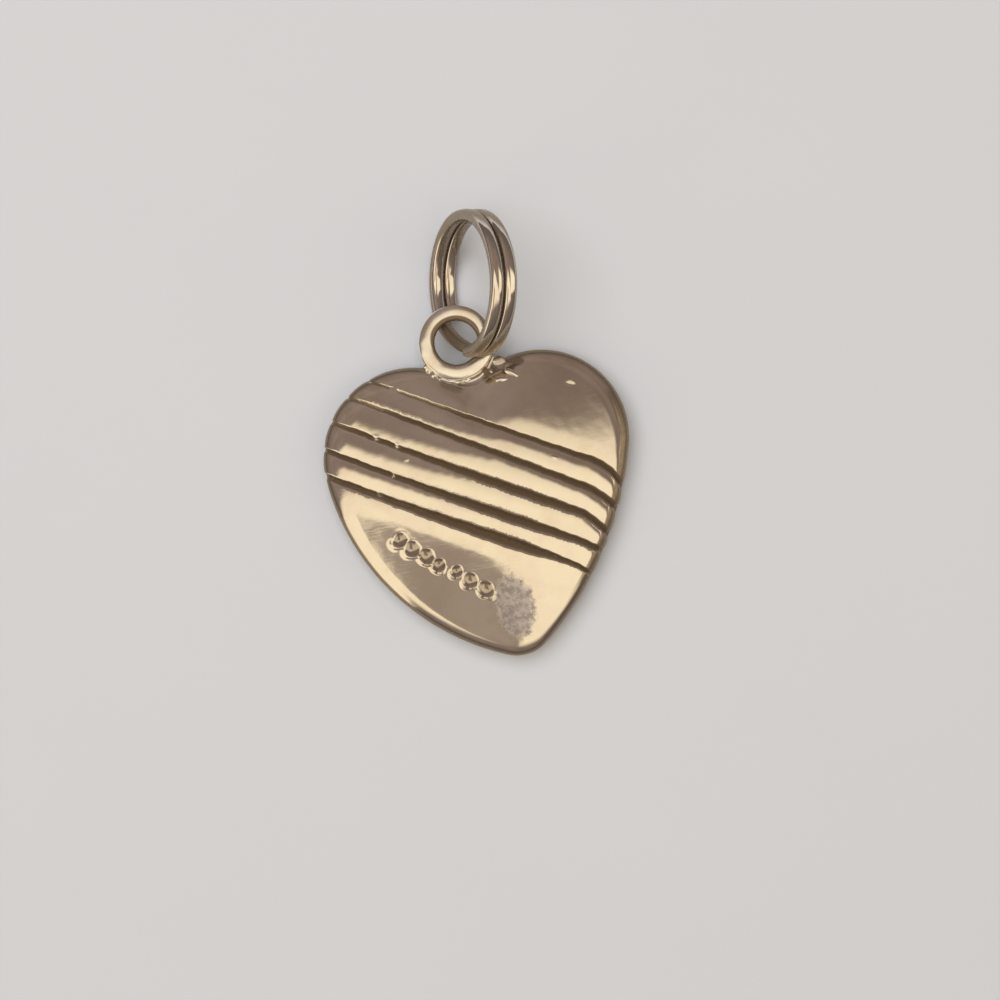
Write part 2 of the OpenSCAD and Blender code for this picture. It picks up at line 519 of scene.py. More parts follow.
class Bench:
    """Turns meshes made in millimetres into pieces of the charm."""

    # Minus the normal's height where a surface starts to face sideways and where it does.
    SIDEWAYS = (-0.84, -0.6)
    SHARP_ANGLE = 55.0

    @staticmethod
    def plain_mesh(source: bpy.types.Object) -> bpy.types.Mesh:
        """Evaluates an object with its modifiers and removes it.

        Args:
            source: The object whose modifiers make the shape.

        Returns:
            The evaluated mesh, free of modifiers.
        """
        graph = bpy.context.evaluated_depsgraph_get()
        made = bpy.data.meshes.new_from_object(
            source.evaluated_get(graph), preserve_all_data_layers=True, depsgraph=graph
        )
        used = source.data
        bpy.data.objects.remove(source)
        bpy.data.meshes.remove(used)
        return made

    @staticmethod
    def mesh_of(
        name: str, points: Sequence[Sequence[float]], faces: Sequence[Sequence[int]] = ()
    ) -> bpy.types.Mesh:
        """Makes a mesh from points and faces.

        Args:
            name: The mesh's name.
            points: Its points, in millimetres.
            faces: Its faces, or none for loose points.

        Returns:
            The mesh.
        """
        made = bpy.data.meshes.new(name)
        made.from_pydata([tuple(p) for p in points], [], [tuple(f) for f in faces])
        made.update()
        return made

    @staticmethod
    def darken(
        mesh: bpy.types.Mesh, patina: Callable[[np.ndarray], np.ndarray], sides: float
    ) -> None:
        """Marks the darkening that a mesh holds: painted shade and painted dark reflection.

        Args:
            mesh: The mesh, in millimetres.
            patina: Gives the patina, 0 to 1, at each of its points.
            sides: Painted dark reflection on all that faces sideways.
        """
        points = np.array([v.co for v in mesh.vertices])
        up = np.array([n.vector[2] for n in mesh.vertex_normals])
        steep = sides * smooth_rise(-up, *Bench.SIDEWAYS)
        Bench.set_patina(mesh, np.maximum(patina(points), steep))

    @staticmethod
    def set_patina(mesh: bpy.types.Mesh, patina: np.ndarray) -> None:
        """Stores the patina and painted shade of each point for the finish to read."""
        layer = mesh.attributes.new("patina", "FLOAT", "POINT")
        layer.data.foreach_set("value", patina.astype(np.float32))

    @staticmethod
    def publish(
        name: str,
        mesh: bpy.types.Mesh,
        material: bpy.types.Material,
        slot: Slot,
        stands_for: CadNode | None = None,
    ) -> bpy.types.Object:
        """Makes a finished piece from a mesh in millimetres.

        Args:
            name: The piece's name.
            mesh: Its mesh, in millimetres, in the shared frame.
            material: Its finish.
            slot: Not used.
            stands_for: The CAD solid that it replaces, if any.

        Returns:
            The piece, riding on its body.
        """
        mesh.transform(Matrix.Scale(MM, 4))
        mesh.name = name
        mesh.materials.clear()
        mesh.materials.append(material)
        mesh.polygons.foreach_set("use_smooth", [True] * len(mesh.polygons))
        mesh.set_sharp_from_angle(angle=math.radians(Bench.SHARP_ANGLE))
        mesh.update()
        piece = stand_in_scene(name, mesh)
        if stands_for is not None:
            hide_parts(stands_for.value)
        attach(piece, BODY)
        corners = np.array([v.co for v in mesh.vertices]) / MM
        triangles = sum(len(p.vertices) - 2 for p in mesh.polygons)
        log.info(
            "%s: %d triangles, from %s to %s mm",
            name, triangles, np.round(corners.min(0), 2), np.round(corners.max(0), 2),
        )
        return piece


class NodeTool:
    """A Geometry Nodes tree with named inputs, used once and turned into a plain mesh."""

    KINDS = ((float, "Float"), (int, "Int"), (tuple, "Vector"), (bpy.types.Material, "Material"))

    def __init__(self, name: str, inputs: Mapping[str, Any]) -> None:
        """Starts a tree with its named inputs.

        Args:
            name: The tree's name.
            inputs: What the modifier gives each input: a number, a vector or a material.
        """
        self.tree = bpy.data.node_groups.new(name, "GeometryNodeTree")
        self.graph = Graph(self.tree)
        add = self.tree.interface.new_socket
        add("Geometry", in_out="INPUT", socket_type="NodeSocketGeometry")
        add("Geometry", in_out="OUTPUT", socket_type="NodeSocketGeometry")
        self.given: dict[str, Any] = {}
        for key, value in inputs.items():
            kind = next(word for family, word in self.KINDS if isinstance(value, family))
            socket = add(key, in_out="INPUT", socket_type="NodeSocket" + kind)
            self.given[socket.identifier] = value
        self.source = self.graph.node("NodeGroupInput")

    def read(self, name: str) -> Value:
        """The value of a named input."""
        return self.source.other(name)

    def circle(self, steps: str, radius: str) -> Value:
        """A round curve.

        Args:
            steps: Name of the input with its number of points.
            radius: Name of the input with its radius.

        Returns:
            The curve.
        """
        return self.graph.node(
            "GeometryNodeCurvePrimitiveCircle",
            inputs={"Resolution": self.read(steps), "Radius": self.read(radius)},
        )

    def close(self, geometry: Value, material: Value) -> None:
        """Ends the tree in Realize Instances and Set Material.

        Args:
            geometry: What the tree has made.
            material: The finish to give it.
        """
        real = self.graph.node("GeometryNodeRealizeInstances", inputs={"Geometry": geometry})
        dressed = self.graph.node(
            "GeometryNodeSetMaterial", inputs={"Geometry": real, "Material": material}
        )
        self.graph.node("NodeGroupOutput", inputs={"Geometry": dressed})

    def run(self, mesh: bpy.types.Mesh) -> bpy.types.Mesh:
        """Runs the tree on a mesh.

        Args:
            mesh: The incoming geometry.

        Returns:
            The result as a plain mesh.
        """
        form = stand_in_scene(mesh.name + "_form", mesh)
        modifier = form.modifiers.new(self.tree.name, "NODES")
        modifier.node_group = self.tree
        for identifier, value in self.given.items():
            modifier[identifier] = value
        form.update_tag()
        bpy.context.view_layer.update()
        return Bench.plain_mesh(form)


@dataclass(frozen=True)
class HeartShape:
    """Outline and level lines of the heart, in millimetres.

    The outline is six arcs that run into each other. Level lines go from the outline, at
    level 1, to a round middle at level 0.

    Attributes:
        right_lobe: Centre of the right lobe.
        right_lobe_r: Its radius.
        left_lobe: Centre of the left lobe.
        left_lobe_r: Its radius.
        tip: Centre of the rounded tip.
        tip_r: Its radius.
        right_flank_r: Radius of the right flank.
        left_flank_r: Radius of the left flank.
        cleft_r: Radius of the fillet between the lobes.
        middle_r: Radius that the level lines settle to.
        crown_z: Height of the crown.
        side_h: Height of the side wall.
        shoulder_h: Height of the rounded shoulder.
        shoulder_w: Width of the rounded shoulder.
        shoulder_lean: Slope angle at which the shoulder leaves the dome, in degrees.
        back_bevel: Size of the bevel round the back.
    """

    right_lobe: Point2 = (3.0, 2.1)
    right_lobe_r: float = 4.35
    left_lobe: Point2 = (-3.4, 2.35)
    left_lobe_r: float = 4.5
    tip: Point2 = (0.0, -6.35)
    tip_r: float = 1.95
    right_flank_r: float = 17.0
    left_flank_r: float = 12.0
    cleft_r: float = 1.0
    middle_r: float = 6.3
    crown_z: float = 2.3
    side_h: float = 1.15
    shoulder_h: float = 0.5
    shoulder_w: float = 0.5
    shoulder_lean: float = 20.0
    back_bevel: float = 0.15

    @property
    def shoulder_level(self) -> float:
        """Level at which the shoulder leaves the dome."""
        return 1.0 - self.shoulder_w / self.middle_r

    @property
    def back_level(self) -> float:
        """Level of the flat back's edge."""
        return 1.0 - self.back_bevel / self.middle_r

    @staticmethod
    def crossing(a: Point2, a_r: float, b: Point2, b_r: float) -> Point2:
        """Where two circles cross, on the left of the way from a to b.

        Args:
            a: Centre of the first circle.
            a_r: Its radius.
            b: Centre of the second circle.
            b_r: Its radius.

        Returns:
            The crossing.
        """
        start, gap = np.array(a), np.array(b) - np.array(a)
        far = float(np.hypot(*gap))
        along = (far * far + a_r * a_r - b_r * b_r) / (2 * far)
        off = math.sqrt(a_r * a_r - along * along)
        met = start + (gap * along + np.array([-gap[1], gap[0]]) * off) / far
        return float(met[0]), float(met[1])

    @staticmethod
    def bearing(x: Any, y: Any) -> Any:
        """Direction of a point in degrees, counted from straight down."""
        return (np.degrees(np.arctan2(y, x)) + 450.0) % 360.0

    def joint(self, big: Point2, big_r: float, small: Point2) -> float:
        """Bearing of the point where two arcs meet.

        Args:
            big: Centre of the larger arc.
            big_r: Its radius.
            small: Centre of the smaller arc.

        Returns:
            The bearing in degrees.
        """
        start, way = np.array(big), np.array(small) - np.array(big)
        met = start + way / np.hypot(*way) * big_r
        return float(self.bearing(met[0], met[1]))

    def arcs(self) -> list[tuple[Point2, float, int, float]]:
        """Lists the arcs of the outline, anticlockwise from the right flank.

        Returns:
            Centre, radius, side of the crossing and bearing of the end of each arc.
        """
        flank = self.crossing(
            self.tip, self.right_flank_r - self.tip_r,
            self.right_lobe, self.right_flank_r - self.right_lobe_r,
        )
        far_flank = self.crossing(
            self.left_lobe, self.left_flank_r - self.left_lobe_r,
            self.tip, self.left_flank_r - self.tip_r,
        )
        cleft = self.crossing(
            self.left_lobe, self.left_lobe_r + self.cleft_r,
            self.right_lobe, self.right_lobe_r + self.cleft_r,
        )

        joint = self.joint
        return [
            (flank, self.right_flank_r, 1, joint(flank, self.right_flank_r, self.right_lobe)),
            (self.right_lobe, self.right_lobe_r, 1,
             joint(self.right_lobe, self.right_lobe_r, cleft)),
            (cleft, self.cleft_r, -1, joint(self.left_lobe, self.left_lobe_r, cleft)),
            (self.left_lobe, self.left_lobe_r, 1,
             joint(far_flank, self.left_flank_r, self.left_lobe)),
            (far_flank, self.left_flank_r, 1, joint(far_flank, self.left_flank_r, self.tip)),
            (self.tip, self.tip_r, 1, 360.0 + joint(flank, self.right_flank_r, self.tip)),
        ]

    def reach(self, angle: np.ndarray) -> np.ndarray:
        """Distance from the middle to the outline.

        Args:
            angle: Directions in radians.

        Returns:
            The distance in each direction.
        """
        x, y = np.cos(angle), np.sin(angle)
        arcs = self.arcs()
        seen = self.bearing(x, y)
        seen = np.where(seen < arcs[-1][3] - 360.0, seen + 360.0, seen)
        ends = np.array([arc[3] for arc in arcs])
        which = np.minimum(np.searchsorted(ends, seen, side="right"), len(arcs) - 1)
        centre = np.array([arc[0] for arc in arcs])[which]
        radius = np.array([arc[1] for arc in arcs])[which]
        side = np.array([arc[2] for arc in arcs])[which]
        along = centre[:, 0] * x + centre[:, 1] * y
        inside = along ** 2 - (centre ** 2).sum(1) + radius ** 2
        return along + side * np.sqrt(inside)

    def level_points(self, level: float | np.ndarray, angle: np.ndarray) -> np.ndarray:
        """Points of a level line.

        Args:
            level: The level, or one for each direction.
            angle: Directions in radians.

        Returns:
            Flat points, one for each direction.
        """
        edge = self.reach(angle)
        far = level * (self.middle_r + (edge - self.middle_r) * np.square(level))
        return np.stack([far * np.cos(angle), far * np.sin(angle)], 1)

    def level_of(self, points: np.ndarray) -> np.ndarray:
        """Level of flat points.

        Args:
            points: Flat points.

        Returns:
            Their levels, 0 in the middle and 1 on the outline.
        """
        far = np.maximum(np.hypot(points[:, 0], points[:, 1]), 1e-9)
        spread = self.reach(np.arctan2(points[:, 1], points[:, 0])) - self.middle_r
        level = far / (spread + self.middle_r)
        for _ in range(6):
            error = level * (self.middle_r + spread * level ** 2) - far
            level = level - error / (self.middle_r + 3 * spread * level ** 2)
        return level

    def dome_z(self, level: Any) -> Any:
        """Height of the dome inside the shoulder."""
        top = self.side_h + self.shoulder_h
        return top + (self.crown_z - top) * (1.0 - (level / self.shoulder_level) ** 2)

    def shoulder(self, turn: float) -> tuple[float, float]:
        """A point of the rounded shoulder.

        Args:
            turn: Slope of the shoulder there, from its lean to 90 degrees.

        Returns:
            Its level and its height.
        """
        lean, at = math.radians(self.shoulder_lean), math.radians(turn)
        share = (math.sin(at) - math.sin(lean)) / (1.0 - math.sin(lean))
        level = self.shoulder_level + (1.0 - self.shoulder_level) * share
        return level, self.side_h + self.shoulder_h * math.cos(at) / math.cos(lean)

    def surface(self, points: np.ndarray) -> np.ndarray:
        """Height of the face over flat points.

        Args:
            points: Flat points inside the outline.

        Returns:
            The height of the face at each.
        """
        level = np.clip(self.level_of(points), 0.0, 1.0)
        lean = math.radians(self.shoulder_lean)
        share = np.clip((level - self.shoulder_level) / (1.0 - self.shoulder_level), 0.0, 1.0)
        sine = math.sin(lean) + share * (1.0 - math.sin(lean))
        edge = self.side_h + self.shoulder_h * np.sqrt(1.0 - sine ** 2) / math.cos(lean)
        return np.where(level < self.shoulder_level, self.dome_z(level), edge)


@dataclass(frozen=True)
class Groove:
    """One engraved groove across the heart, in millimetres.

    Attributes:
        across: How far it lies from the middle.
        turn: Its own small turn, in degrees.
        bow: How far its ends bow up.
        droop: The part of the common droop that it takes at the right edge.
        left_w: Its width at the left end.
        middle_w: Its width where it is widest.
        right_w: Its width at the right end.
        thin_to: Distance along it at which a thin start reaches its full depth.
    """

    across: float
    turn: float
    bow: float
    droop: float
    left_w: float
    middle_w: float
    right_w: float
    thin_to: float

    SLOPE = -32.0
    DROOP = 0.35
    BEND = 4.2
    BEND_LENGTH = 1.6
    HALF_LENGTH = 7.0
    DEPTH_SHARE = 0.62
    SKEW = 0.2
    # Where along a groove it has swollen to its middle width, and where it fades to its end.
    SWELL, FADE = (-6.0, 1.4), (1.8, 5.2)
    START_SHARE, START_LENGTH = 0.35, 2.2
    # The hand's wavering: the height of each wave and its pace along the groove.
    WAVERS = ((0.012, 4.3), (0.007, 11.0))

    def spread(self, points: np.ndarray) -> tuple[np.ndarray, np.ndarray]:
        """Turns flat points to distances along the groove and shares of its cut.

        A share is 1 at the upper lip, 0 at the bottom and -1 at the lower lip. The bottom
        lies nearer to the upper lip, whose wall is the steeper one.

        Args:
            points: Flat points.

        Returns:
            Distances along, and shares of the cut.
        """
        angle = math.radians(self.SLOPE + self.turn)
        along = points[:, 0] * math.cos(angle) + points[:, 1] * math.sin(angle)
        across = points[:, 1] * math.cos(angle) - points[:, 0] * math.sin(angle)
        off = (across - self.middle(along)) / self.half_width(along) - self.SKEW
        return along, off / np.where(off > 0, 1.0 - self.SKEW, 1.0 + self.SKEW)

    def place(self, along: np.ndarray, share: np.ndarray) -> np.ndarray:
        """Flat points at distances along the groove and shares of its cut.

        Args:
            along: Distances along it.
            share: Shares of the cut.

        Returns:
            The flat points.
        """
        angle = math.radians(self.SLOPE + self.turn)
        off = share * np.where(share > 0, 1.0 - self.SKEW, 1.0 + self.SKEW) + self.SKEW
        across = off * self.half_width(along) + self.middle(along)
        x = along * math.cos(angle) - across * math.sin(angle)
        y = along * math.sin(angle) + across * math.cos(angle)
        return np.stack([x, y], 1)

    def middle(self, along: np.ndarray) -> np.ndarray:
        """Where the groove's middle runs.

        Args:
            along: Distances along it.

        Returns:
            How far its middle lies from the heart's middle.
        """
        bend = np.maximum(0.0, along - self.BEND) / self.BEND_LENGTH
        bow = self.bow * (along / self.HALF_LENGTH) ** 2
        (slow, slow_pace), (quick, quick_pace) = self.WAVERS
        hand = slow * np.sin(slow_pace * along + self.across) + quick * np.sin(quick_pace * along)
        return self.across + bow - self.droop * self.DROOP * bend ** 2 + hand

    def half_width(self, along: np.ndarray) -> np.ndarray:
        """Half the groove's width.

        Args:
            along: Distances along it.

        Returns:
            Half its width at each.
        """
        swell = self.left_w + (self.middle_w - self.left_w) * smooth_rise(along, *self.SWELL)
        fade = (self.right_w - self.middle_w) * smooth_rise(along, *self.FADE)
        return 0.5 * (swell + fade)

    def depth(self, along: np.ndarray) -> np.ndarray:
        """Depth of the groove at distances along it.

        Args:
            along: Distances along it.

        Returns:
            The depth, less over a thin start.
        """
        full = smooth_rise(along, self.thin_to - self.START_LENGTH, self.thin_to)
        start = self.START_SHARE + (1.0 - self.START_SHARE) * full
        return self.half_width(along) * 2 * self.DEPTH_SHARE * start


@dataclass(frozen=True)
class Fleck:
    """A small casting lump that bridges a groove or sits on a band.

    Attributes:
        x: Its place to the right.
        y: Its place up the heart.
        radius: Its radius.
        rise: How far it stands above the face.
        fill: The part of a groove's depth that it fills.
    """

    x: float
    y: float
    radius: float
    rise: float
    fill: float


@dataclass
class Casting:
    """The cast heart: dome, shoulder, side wall and back, cut by five grooves.

    Attributes:
        shape: Outline and level lines.
        finish: Its silver.
        grid: Steps of the dome from its middle to the shoulder.
        shoulder_steps: Rings round the shoulder.
        wall_steps: Rings down the side wall.
        upper_fall: How far a band falls from its crest to its upper edge.
        lower_fall: How far it falls to its lower edge.
        lip_up: Rounding of a groove's upper lip, as a share of its half width.
        lip_down: Rounding of its lower lip.
        ripple: Height of the slow unevenness of the casting.
        foot: Heights between which the grooves run out down the side.
        band_reach: How far the fall at the first and last groove reaches on to the face.
        last_foot: The part of its fall that the band above the last groove takes.
        nick_depth: Depth of the nick.
        dimple_depth: Depth of the dimples.
        dimple_lip: Height of their raised lips.
        dimple_patina: Patina in them.
    """

    shape: HeartShape
    finish: SilverFinish
    grid: int = 90
    shoulder_steps: int = 9
    wall_steps: int = 8
    upper_fall: float = 0.026
    lower_fall: float = 0.024
    lip_up: float = 0.16
    lip_down: float = 0.28
    ripple: float = 0.004
    foot: tuple[float, float] = (0.2, 0.5)
    band_reach: float = 0.8
    last_foot: float = 0.2
    nick_depth: float = 0.03
    dimple_depth: float = 0.10
    dimple_lip: float = 0.06
    dimple_patina: float = 0.55

    # Levels of the rings on the flat back, each with half the points of the one before.
    BACK_LEVELS = (0.85, 0.62, 0.4, 0.2)
    GROOVES = (
        Groove(3.07, 1.1, 0.08, 1.5, 0.20, 0.25, 0.36, -1.6),
        Groove(1.84, -0.2, 0.0, 0.9, 0.25, 0.32, 0.38, -4.6),
        Groove(0.46, 1.0, 0.08, 1.1, 0.27, 0.44, 0.37, -6.5),
        Groove(-0.92, 1.4, 0.1, 0.3, 0.28, 0.46, 0.32, -7.5),
        Groove(-2.07, 1.5, 0.07, 0.5, 0.34, 0.54, 0.24, -7.0),
    )
    # Edges are cut along these shares of each groove, in the faces nearer to it than CUT_REACH.
    CUT_LINES = (-1.28, -1.0, -0.72, 0.0, 0.84, 1.0, 1.16)
    CUT_REACH = 3.6
    SNAP = 0.016
    FLECKS = (
        Fleck(-5.02, 3.69, 0.14, 0.018, 0.95),
        Fleck(-4.08, 3.09, 0.12, 0.015, 0.95),
        Fleck(-4.57, 1.68, 0.10, 0.012, 0.8),
        Fleck(-5.42, 0.95, 0.13, 0.012, 0.6),
        Fleck(-5.55, 3.84, 0.10, 0.015, 0.5),
        Fleck(-3.75, 2.35, 0.09, 0.012, 0.0),
        Fleck(3.42, 0.98, 0.08, 0.02, 0.0),
        Fleck(-0.6, -0.9, 0.08, 0.025, 0.0),
    )
    GAP_FLECK = Fleck(-3.68, 5.78, 0.26, 0.0, 1.0)
    # Noise over the casting: its repeats in a millimetre and its seed.
    SLOW_WAVES, FINE_WAVES = (0.5, 3.0), (2.1, 7.0)
    # Shares of a groove at which its patina starts and is full, by its lower and upper lip.
    LOWER_EDGES, UPPER_EDGES = (-1.1, -0.55), (-1.02, -0.7)
    # Painted dark reflection on the rim all round, below and on the right: its strength, then
    # minus the normal's height where it starts and where it is full.
    RIM_DARK_REFLECTIONS = ((0.75, -0.88, -0.76), (0.62, -0.91, -0.82), (0.7, -0.972, -0.945))
    RIGHT_WAY = (0.98, -0.20)
    # A blot is its place, its turn in degrees, half its length and half its width.
    # A dark blot is a blot with its strength: the first a painted shadow under the bail's lower
    # left edge, the second a darker patch beside the beads on the right lobe.
    DARK_BLOTS = (
        (-0.89, 5.43, -33.0, 0.64, 0.27, 0.72),
        (2.44, 6.04, -17.0, 0.50, 0.24, 0.80),
    )
    NICK = (4.87, 4.37, -31.0, 0.2, 0.055)
    # A dimple is its share of the way along the row, its distance off it and its radius.
    DIMPLE_ENDS = ((-4.91, -1.52), (-1.12, -4.74))
    DIMPLES = (
        (0.00, 0.04, 0.37),
        (0.15, -0.05, 0.40),
        (0.31, 0.03, 0.38),
        (0.46, -0.04, 0.33),
        (0.64, 0.05, 0.31),
        (0.80, -0.03, 0.39),
        (0.98, 0.02, 0.41),
    )

    def build(self) -> bpy.types.Object:
        """Builds the casting and dresses it.

        Returns:
            The finished piece.
        """
        points, faces = self._blank()
        mesh = self._cut_along_grooves(Bench.mesh_of("heart_blank", points, faces))
        self._engrave(mesh)
        return Bench.publish(
            "heart_casting", mesh, self.finish.material(), Slot.CAST_SILVER, CadNode.HEART
        )

    def _blank(self) -> tuple[np.ndarray, list[tuple[int, ...]]]:
        """Makes the plain blank: an even grid over the dome, then rings down and under.

        Returns:
            Points and faces of the closed blank.
        """
        n, shape = self.grid, self.shape
        i, j = (a.ravel() for a in np.meshgrid(*[np.arange(-n, n + 1)] * 2, indexing="ij"))
        wide = np.abs(i) >= np.abs(j)
        lead, follow = np.where(wide, i, j), np.where(wide, j, i)
        turn = np.where(lead == 0, 0.0, follow / np.where(lead == 0, 1, lead)) * math.pi / 4
        angle = np.where(wide, turn, math.pi / 2 - turn) + np.where(lead < 0, math.pi, 0.0)
        level = shape.shoulder_level * np.abs(lead) / n
        flat = shape.level_points(level, angle)
        blocks = [np.column_stack([flat, shape.dome_z(level)])]
        side = 2 * n + 1
        faces: list[tuple[int, ...]] = [
            (a * side + b, (a + 1) * side + b, (a + 1) * side + b + 1, a * side + b + 1)
            for a in range(2 * n) for b in range(2 * n)
        ]
        rim = [(n, b) for b in range(-n, n)] + [(a, n) for a in range(n, -n, -1)]
        rim += [(-n, b) for b in range(n, -n, -1)] + [(a, -n) for a in range(-n, n)]
        ring = [(a + n) * side + b + n for a, b in rim]
        around = angle[ring]
        count = side * side
        for ring_level, height in self._ring_levels():
            flat = shape.level_points(ring_level, around)
            blocks.append(np.column_stack([flat, np.full(len(flat), height)]))
            below = list(range(count, count + len(flat)))
            count += len(flat)
            faces += self.strip(ring, below)
            ring = below
        for ring_level in self.BACK_LEVELS:
            around = around[::2]
            flat = shape.level_points(ring_level, around)
            blocks.append(np.column_stack([flat, np.zeros(len(flat))]))
            inner = list(range(count, count + len(flat)))
            count += len(flat)
            faces += self._halving_strip(ring, inner)
            ring = inner
        blocks.append(np.zeros((1, 3)))
        faces += [(a, count, b) for a, b in zip(ring, ring[1:] + ring[:1])]
        return np.concatenate(blocks), faces

    def _ring_levels(self) -> list[tuple[float, float]]:
        """Levels and heights of the rings from the shoulder down to the back's edge.

        Returns:
            Level and height of each ring.
        """
        shape = self.shape
        turns = np.linspace(shape.shoulder_lean, 90.0, self.shoulder_steps + 1)[1:]
        heights = np.linspace(shape.side_h, shape.back_bevel, self.wall_steps + 1)[1:]
        rings = [shape.shoulder(float(turn)) for turn in turns]
        rings += [(1.0, float(height)) for height in heights]
        middle_level = (1.0 + shape.back_level) / 2
        return rings + [(middle_level + 0.005, shape.back_bevel * 0.3), (shape.back_level, 0.0)]

    @staticmethod
    def strip(upper: list[int], lower: list[int]) -> list[tuple[int, ...]]:
        """Faces between two rings with as many points.

        Args:
            upper: Points of the upper ring.
            lower: Points of the lower ring.

        Returns:
            A four-sided face for each point.
        """
        count = len(upper)
        return [
            (upper[k], lower[k], lower[(k + 1) % count], upper[(k + 1) % count])
            for k in range(count)
        ]

    @staticmethod
    def _halving_strip(outer: list[int], inner: list[int]) -> list[tuple[int, ...]]:
        """Faces between a ring and one with half as many points.

        Args:
            outer: The fuller ring.
            inner: The sparser ring.

        Returns:
            Three triangles for each point of the sparser ring.
        """
        faces: list[tuple[int, ...]] = []
        for k, near in enumerate(inner):
            a, b, c = outer[2 * k], outer[2 * k + 1], outer[(2 * k + 2) % len(outer)]
            after = inner[(k + 1) % len(inner)]
            faces += [(a, near, b), (b, near, after), (b, after, c)]
        return faces

    def _cut_along_grooves(self, blank: bpy.types.Mesh) -> bpy.types.Mesh:
        """Cuts edges into the blank along each groove's lips, walls and bottom.

        Each groove is straightened to lie along X, cut with flat planes, and bent back.

        Args:
            blank: The plain blank.

        Returns:
            The blank with edges along the grooves.
        """
        work = bmesh.new()
        work.from_mesh(blank)
        bpy.data.meshes.remove(blank)
        for groove in self.GROOVES:
            work.verts.ensure_lookup_table()
            work.verts.index_update()
            points = np.array([v.co[:] for v in work.verts])
            along, share = groove.spread(points[:, :2])
            close = np.abs(share) < self.CUT_REACH
            close &= points[:, 2] > self.shape.back_bevel * 0.9
            chosen = [f for f in work.faces if all(close[v.index] for v in f.verts)]
            edges = {e for f in chosen for e in f.edges}
            verts = {v for f in chosen for v in f.verts}
            untouched = set(work.verts) - verts
            for v in verts:
                v.co = (along[v.index], share[v.index], points[v.index, 2])
            geom: list[Any] = [*verts, *edges, *chosen]
            snap = self.SNAP / groove.middle_w
            for line in self.CUT_LINES:
                cut = bmesh.ops.bisect_plane(
                    work, geom=geom, dist=snap, plane_co=(0, line, 0), plane_no=(0, 1, 0)
                )
                geom = list(dict.fromkeys(cut["geom"]))
            bent = [v for v in work.verts if v not in untouched]
            flat = np.array([v.co[:] for v in bent])
            lines = np.array(self.CUT_LINES)
            nearest = lines[np.abs(flat[:, 1:2] - lines).argmin(1)]
            settled = np.where(np.abs(flat[:, 1] - nearest) <= snap, nearest, flat[:, 1])
            back = groove.place(flat[:, 0], settled)
            for v, (x, y), z in zip(bent, back, flat[:, 2]):
                v.co = (x, y, z)
        made = bpy.data.meshes.new("heart_cut")
        bmesh.ops.dissolve_degenerate(work, dist=0.002, edges=work.edges)
        work.to_mesh(made)
        work.free()
        made.update()
        return made

    def _engrave(self, mesh: bpy.types.Mesh) -> None:
        """Sinks the grooves and dimples, rounds the bands and marks the patina and painted shade.

        Args:
            mesh: The blank with edges along the grooves. It is changed in place.
        """
        count = len(mesh.vertices)
        points, normals = np.empty(count * 3), np.empty(count * 3)
        mesh.vertices.foreach_get("co", points)
        mesh.vertex_normals.foreach_get("vector", normals)
        points, normals = points.reshape(-1, 3), normals.reshape(-1, 3)
        flat = points[:, :2]
        on_face = smooth_rise(points[:, 2], *self.foot)
        filled, raised = self._flecks(flat)
        sunk, patina = np.zeros(count), np.zeros(count)
        for groove in self.GROOVES:
            along, share = groove.spread(flat)
            start = smooth_rise(along, groove.thin_to - 3.2, groove.thin_to - 1.0)
            sunk += groove.depth(along) * self._cut_share(share) * (1.0 - filled)
            inside = smooth_rise(share, *self.LOWER_EDGES) * smooth_rise(-share, *self.UPPER_EDGES)
            patina = np.maximum(patina, inside * (1.0 - filled) * (0.7 + 0.3 * start))
        dimples, dimple_patina = self._dimples(flat)
        fall = self._band_fall(flat) + self.nick_depth * self._blot(flat, self.NICK)
        uneven, fine = (self._waves(flat, *waves) for waves in (self.SLOW_WAVES, self.FINE_WAVES))
        inward = sunk + fall - raised + dimples + self.ripple * (uneven + 0.25 * fine + 1.25)
        points -= normals * (inward * on_face)[:, None]
        mesh.vertices.foreach_set("co", points.ravel())
        patina = np.maximum(patina, dimple_patina) * on_face
        # Painted dark reflection round the rim, stored with the patina.
        patina = np.maximum(patina, self._rim_dark_reflection(normals))
        # Dark blots, one a painted shadow under the bail, stored with the patina.
        patina = np.maximum(patina, self._dark_blots(flat) * on_face)
        Bench.set_patina(mesh, patina)
        mesh.update()

    @staticmethod
    def _waves(flat: np.ndarray, scale: float, seed: float) -> np.ndarray:
        """Soft noise over flat points."""
        return np.array([noise.noise(Vector((x * scale, y * scale, seed))) for x, y in flat])

    def _cut_share(self, share: np.ndarray) -> np.ndarray:
        """Depth of a V groove with rounded lips.

        Args:
            share: Distance from its middle in half widths, positive up the heart.

        Returns:
            Its depth there, as a part of its full depth.
        """
        lip = np.where(share > 0, self.lip_up, self.lip_down)
        inside = 1.0 - np.abs(share)
        rounded = np.square(np.clip(inside + lip, 0.0, None)) / (4.0 * lip)
        return np.where(inside > lip, inside, rounded)

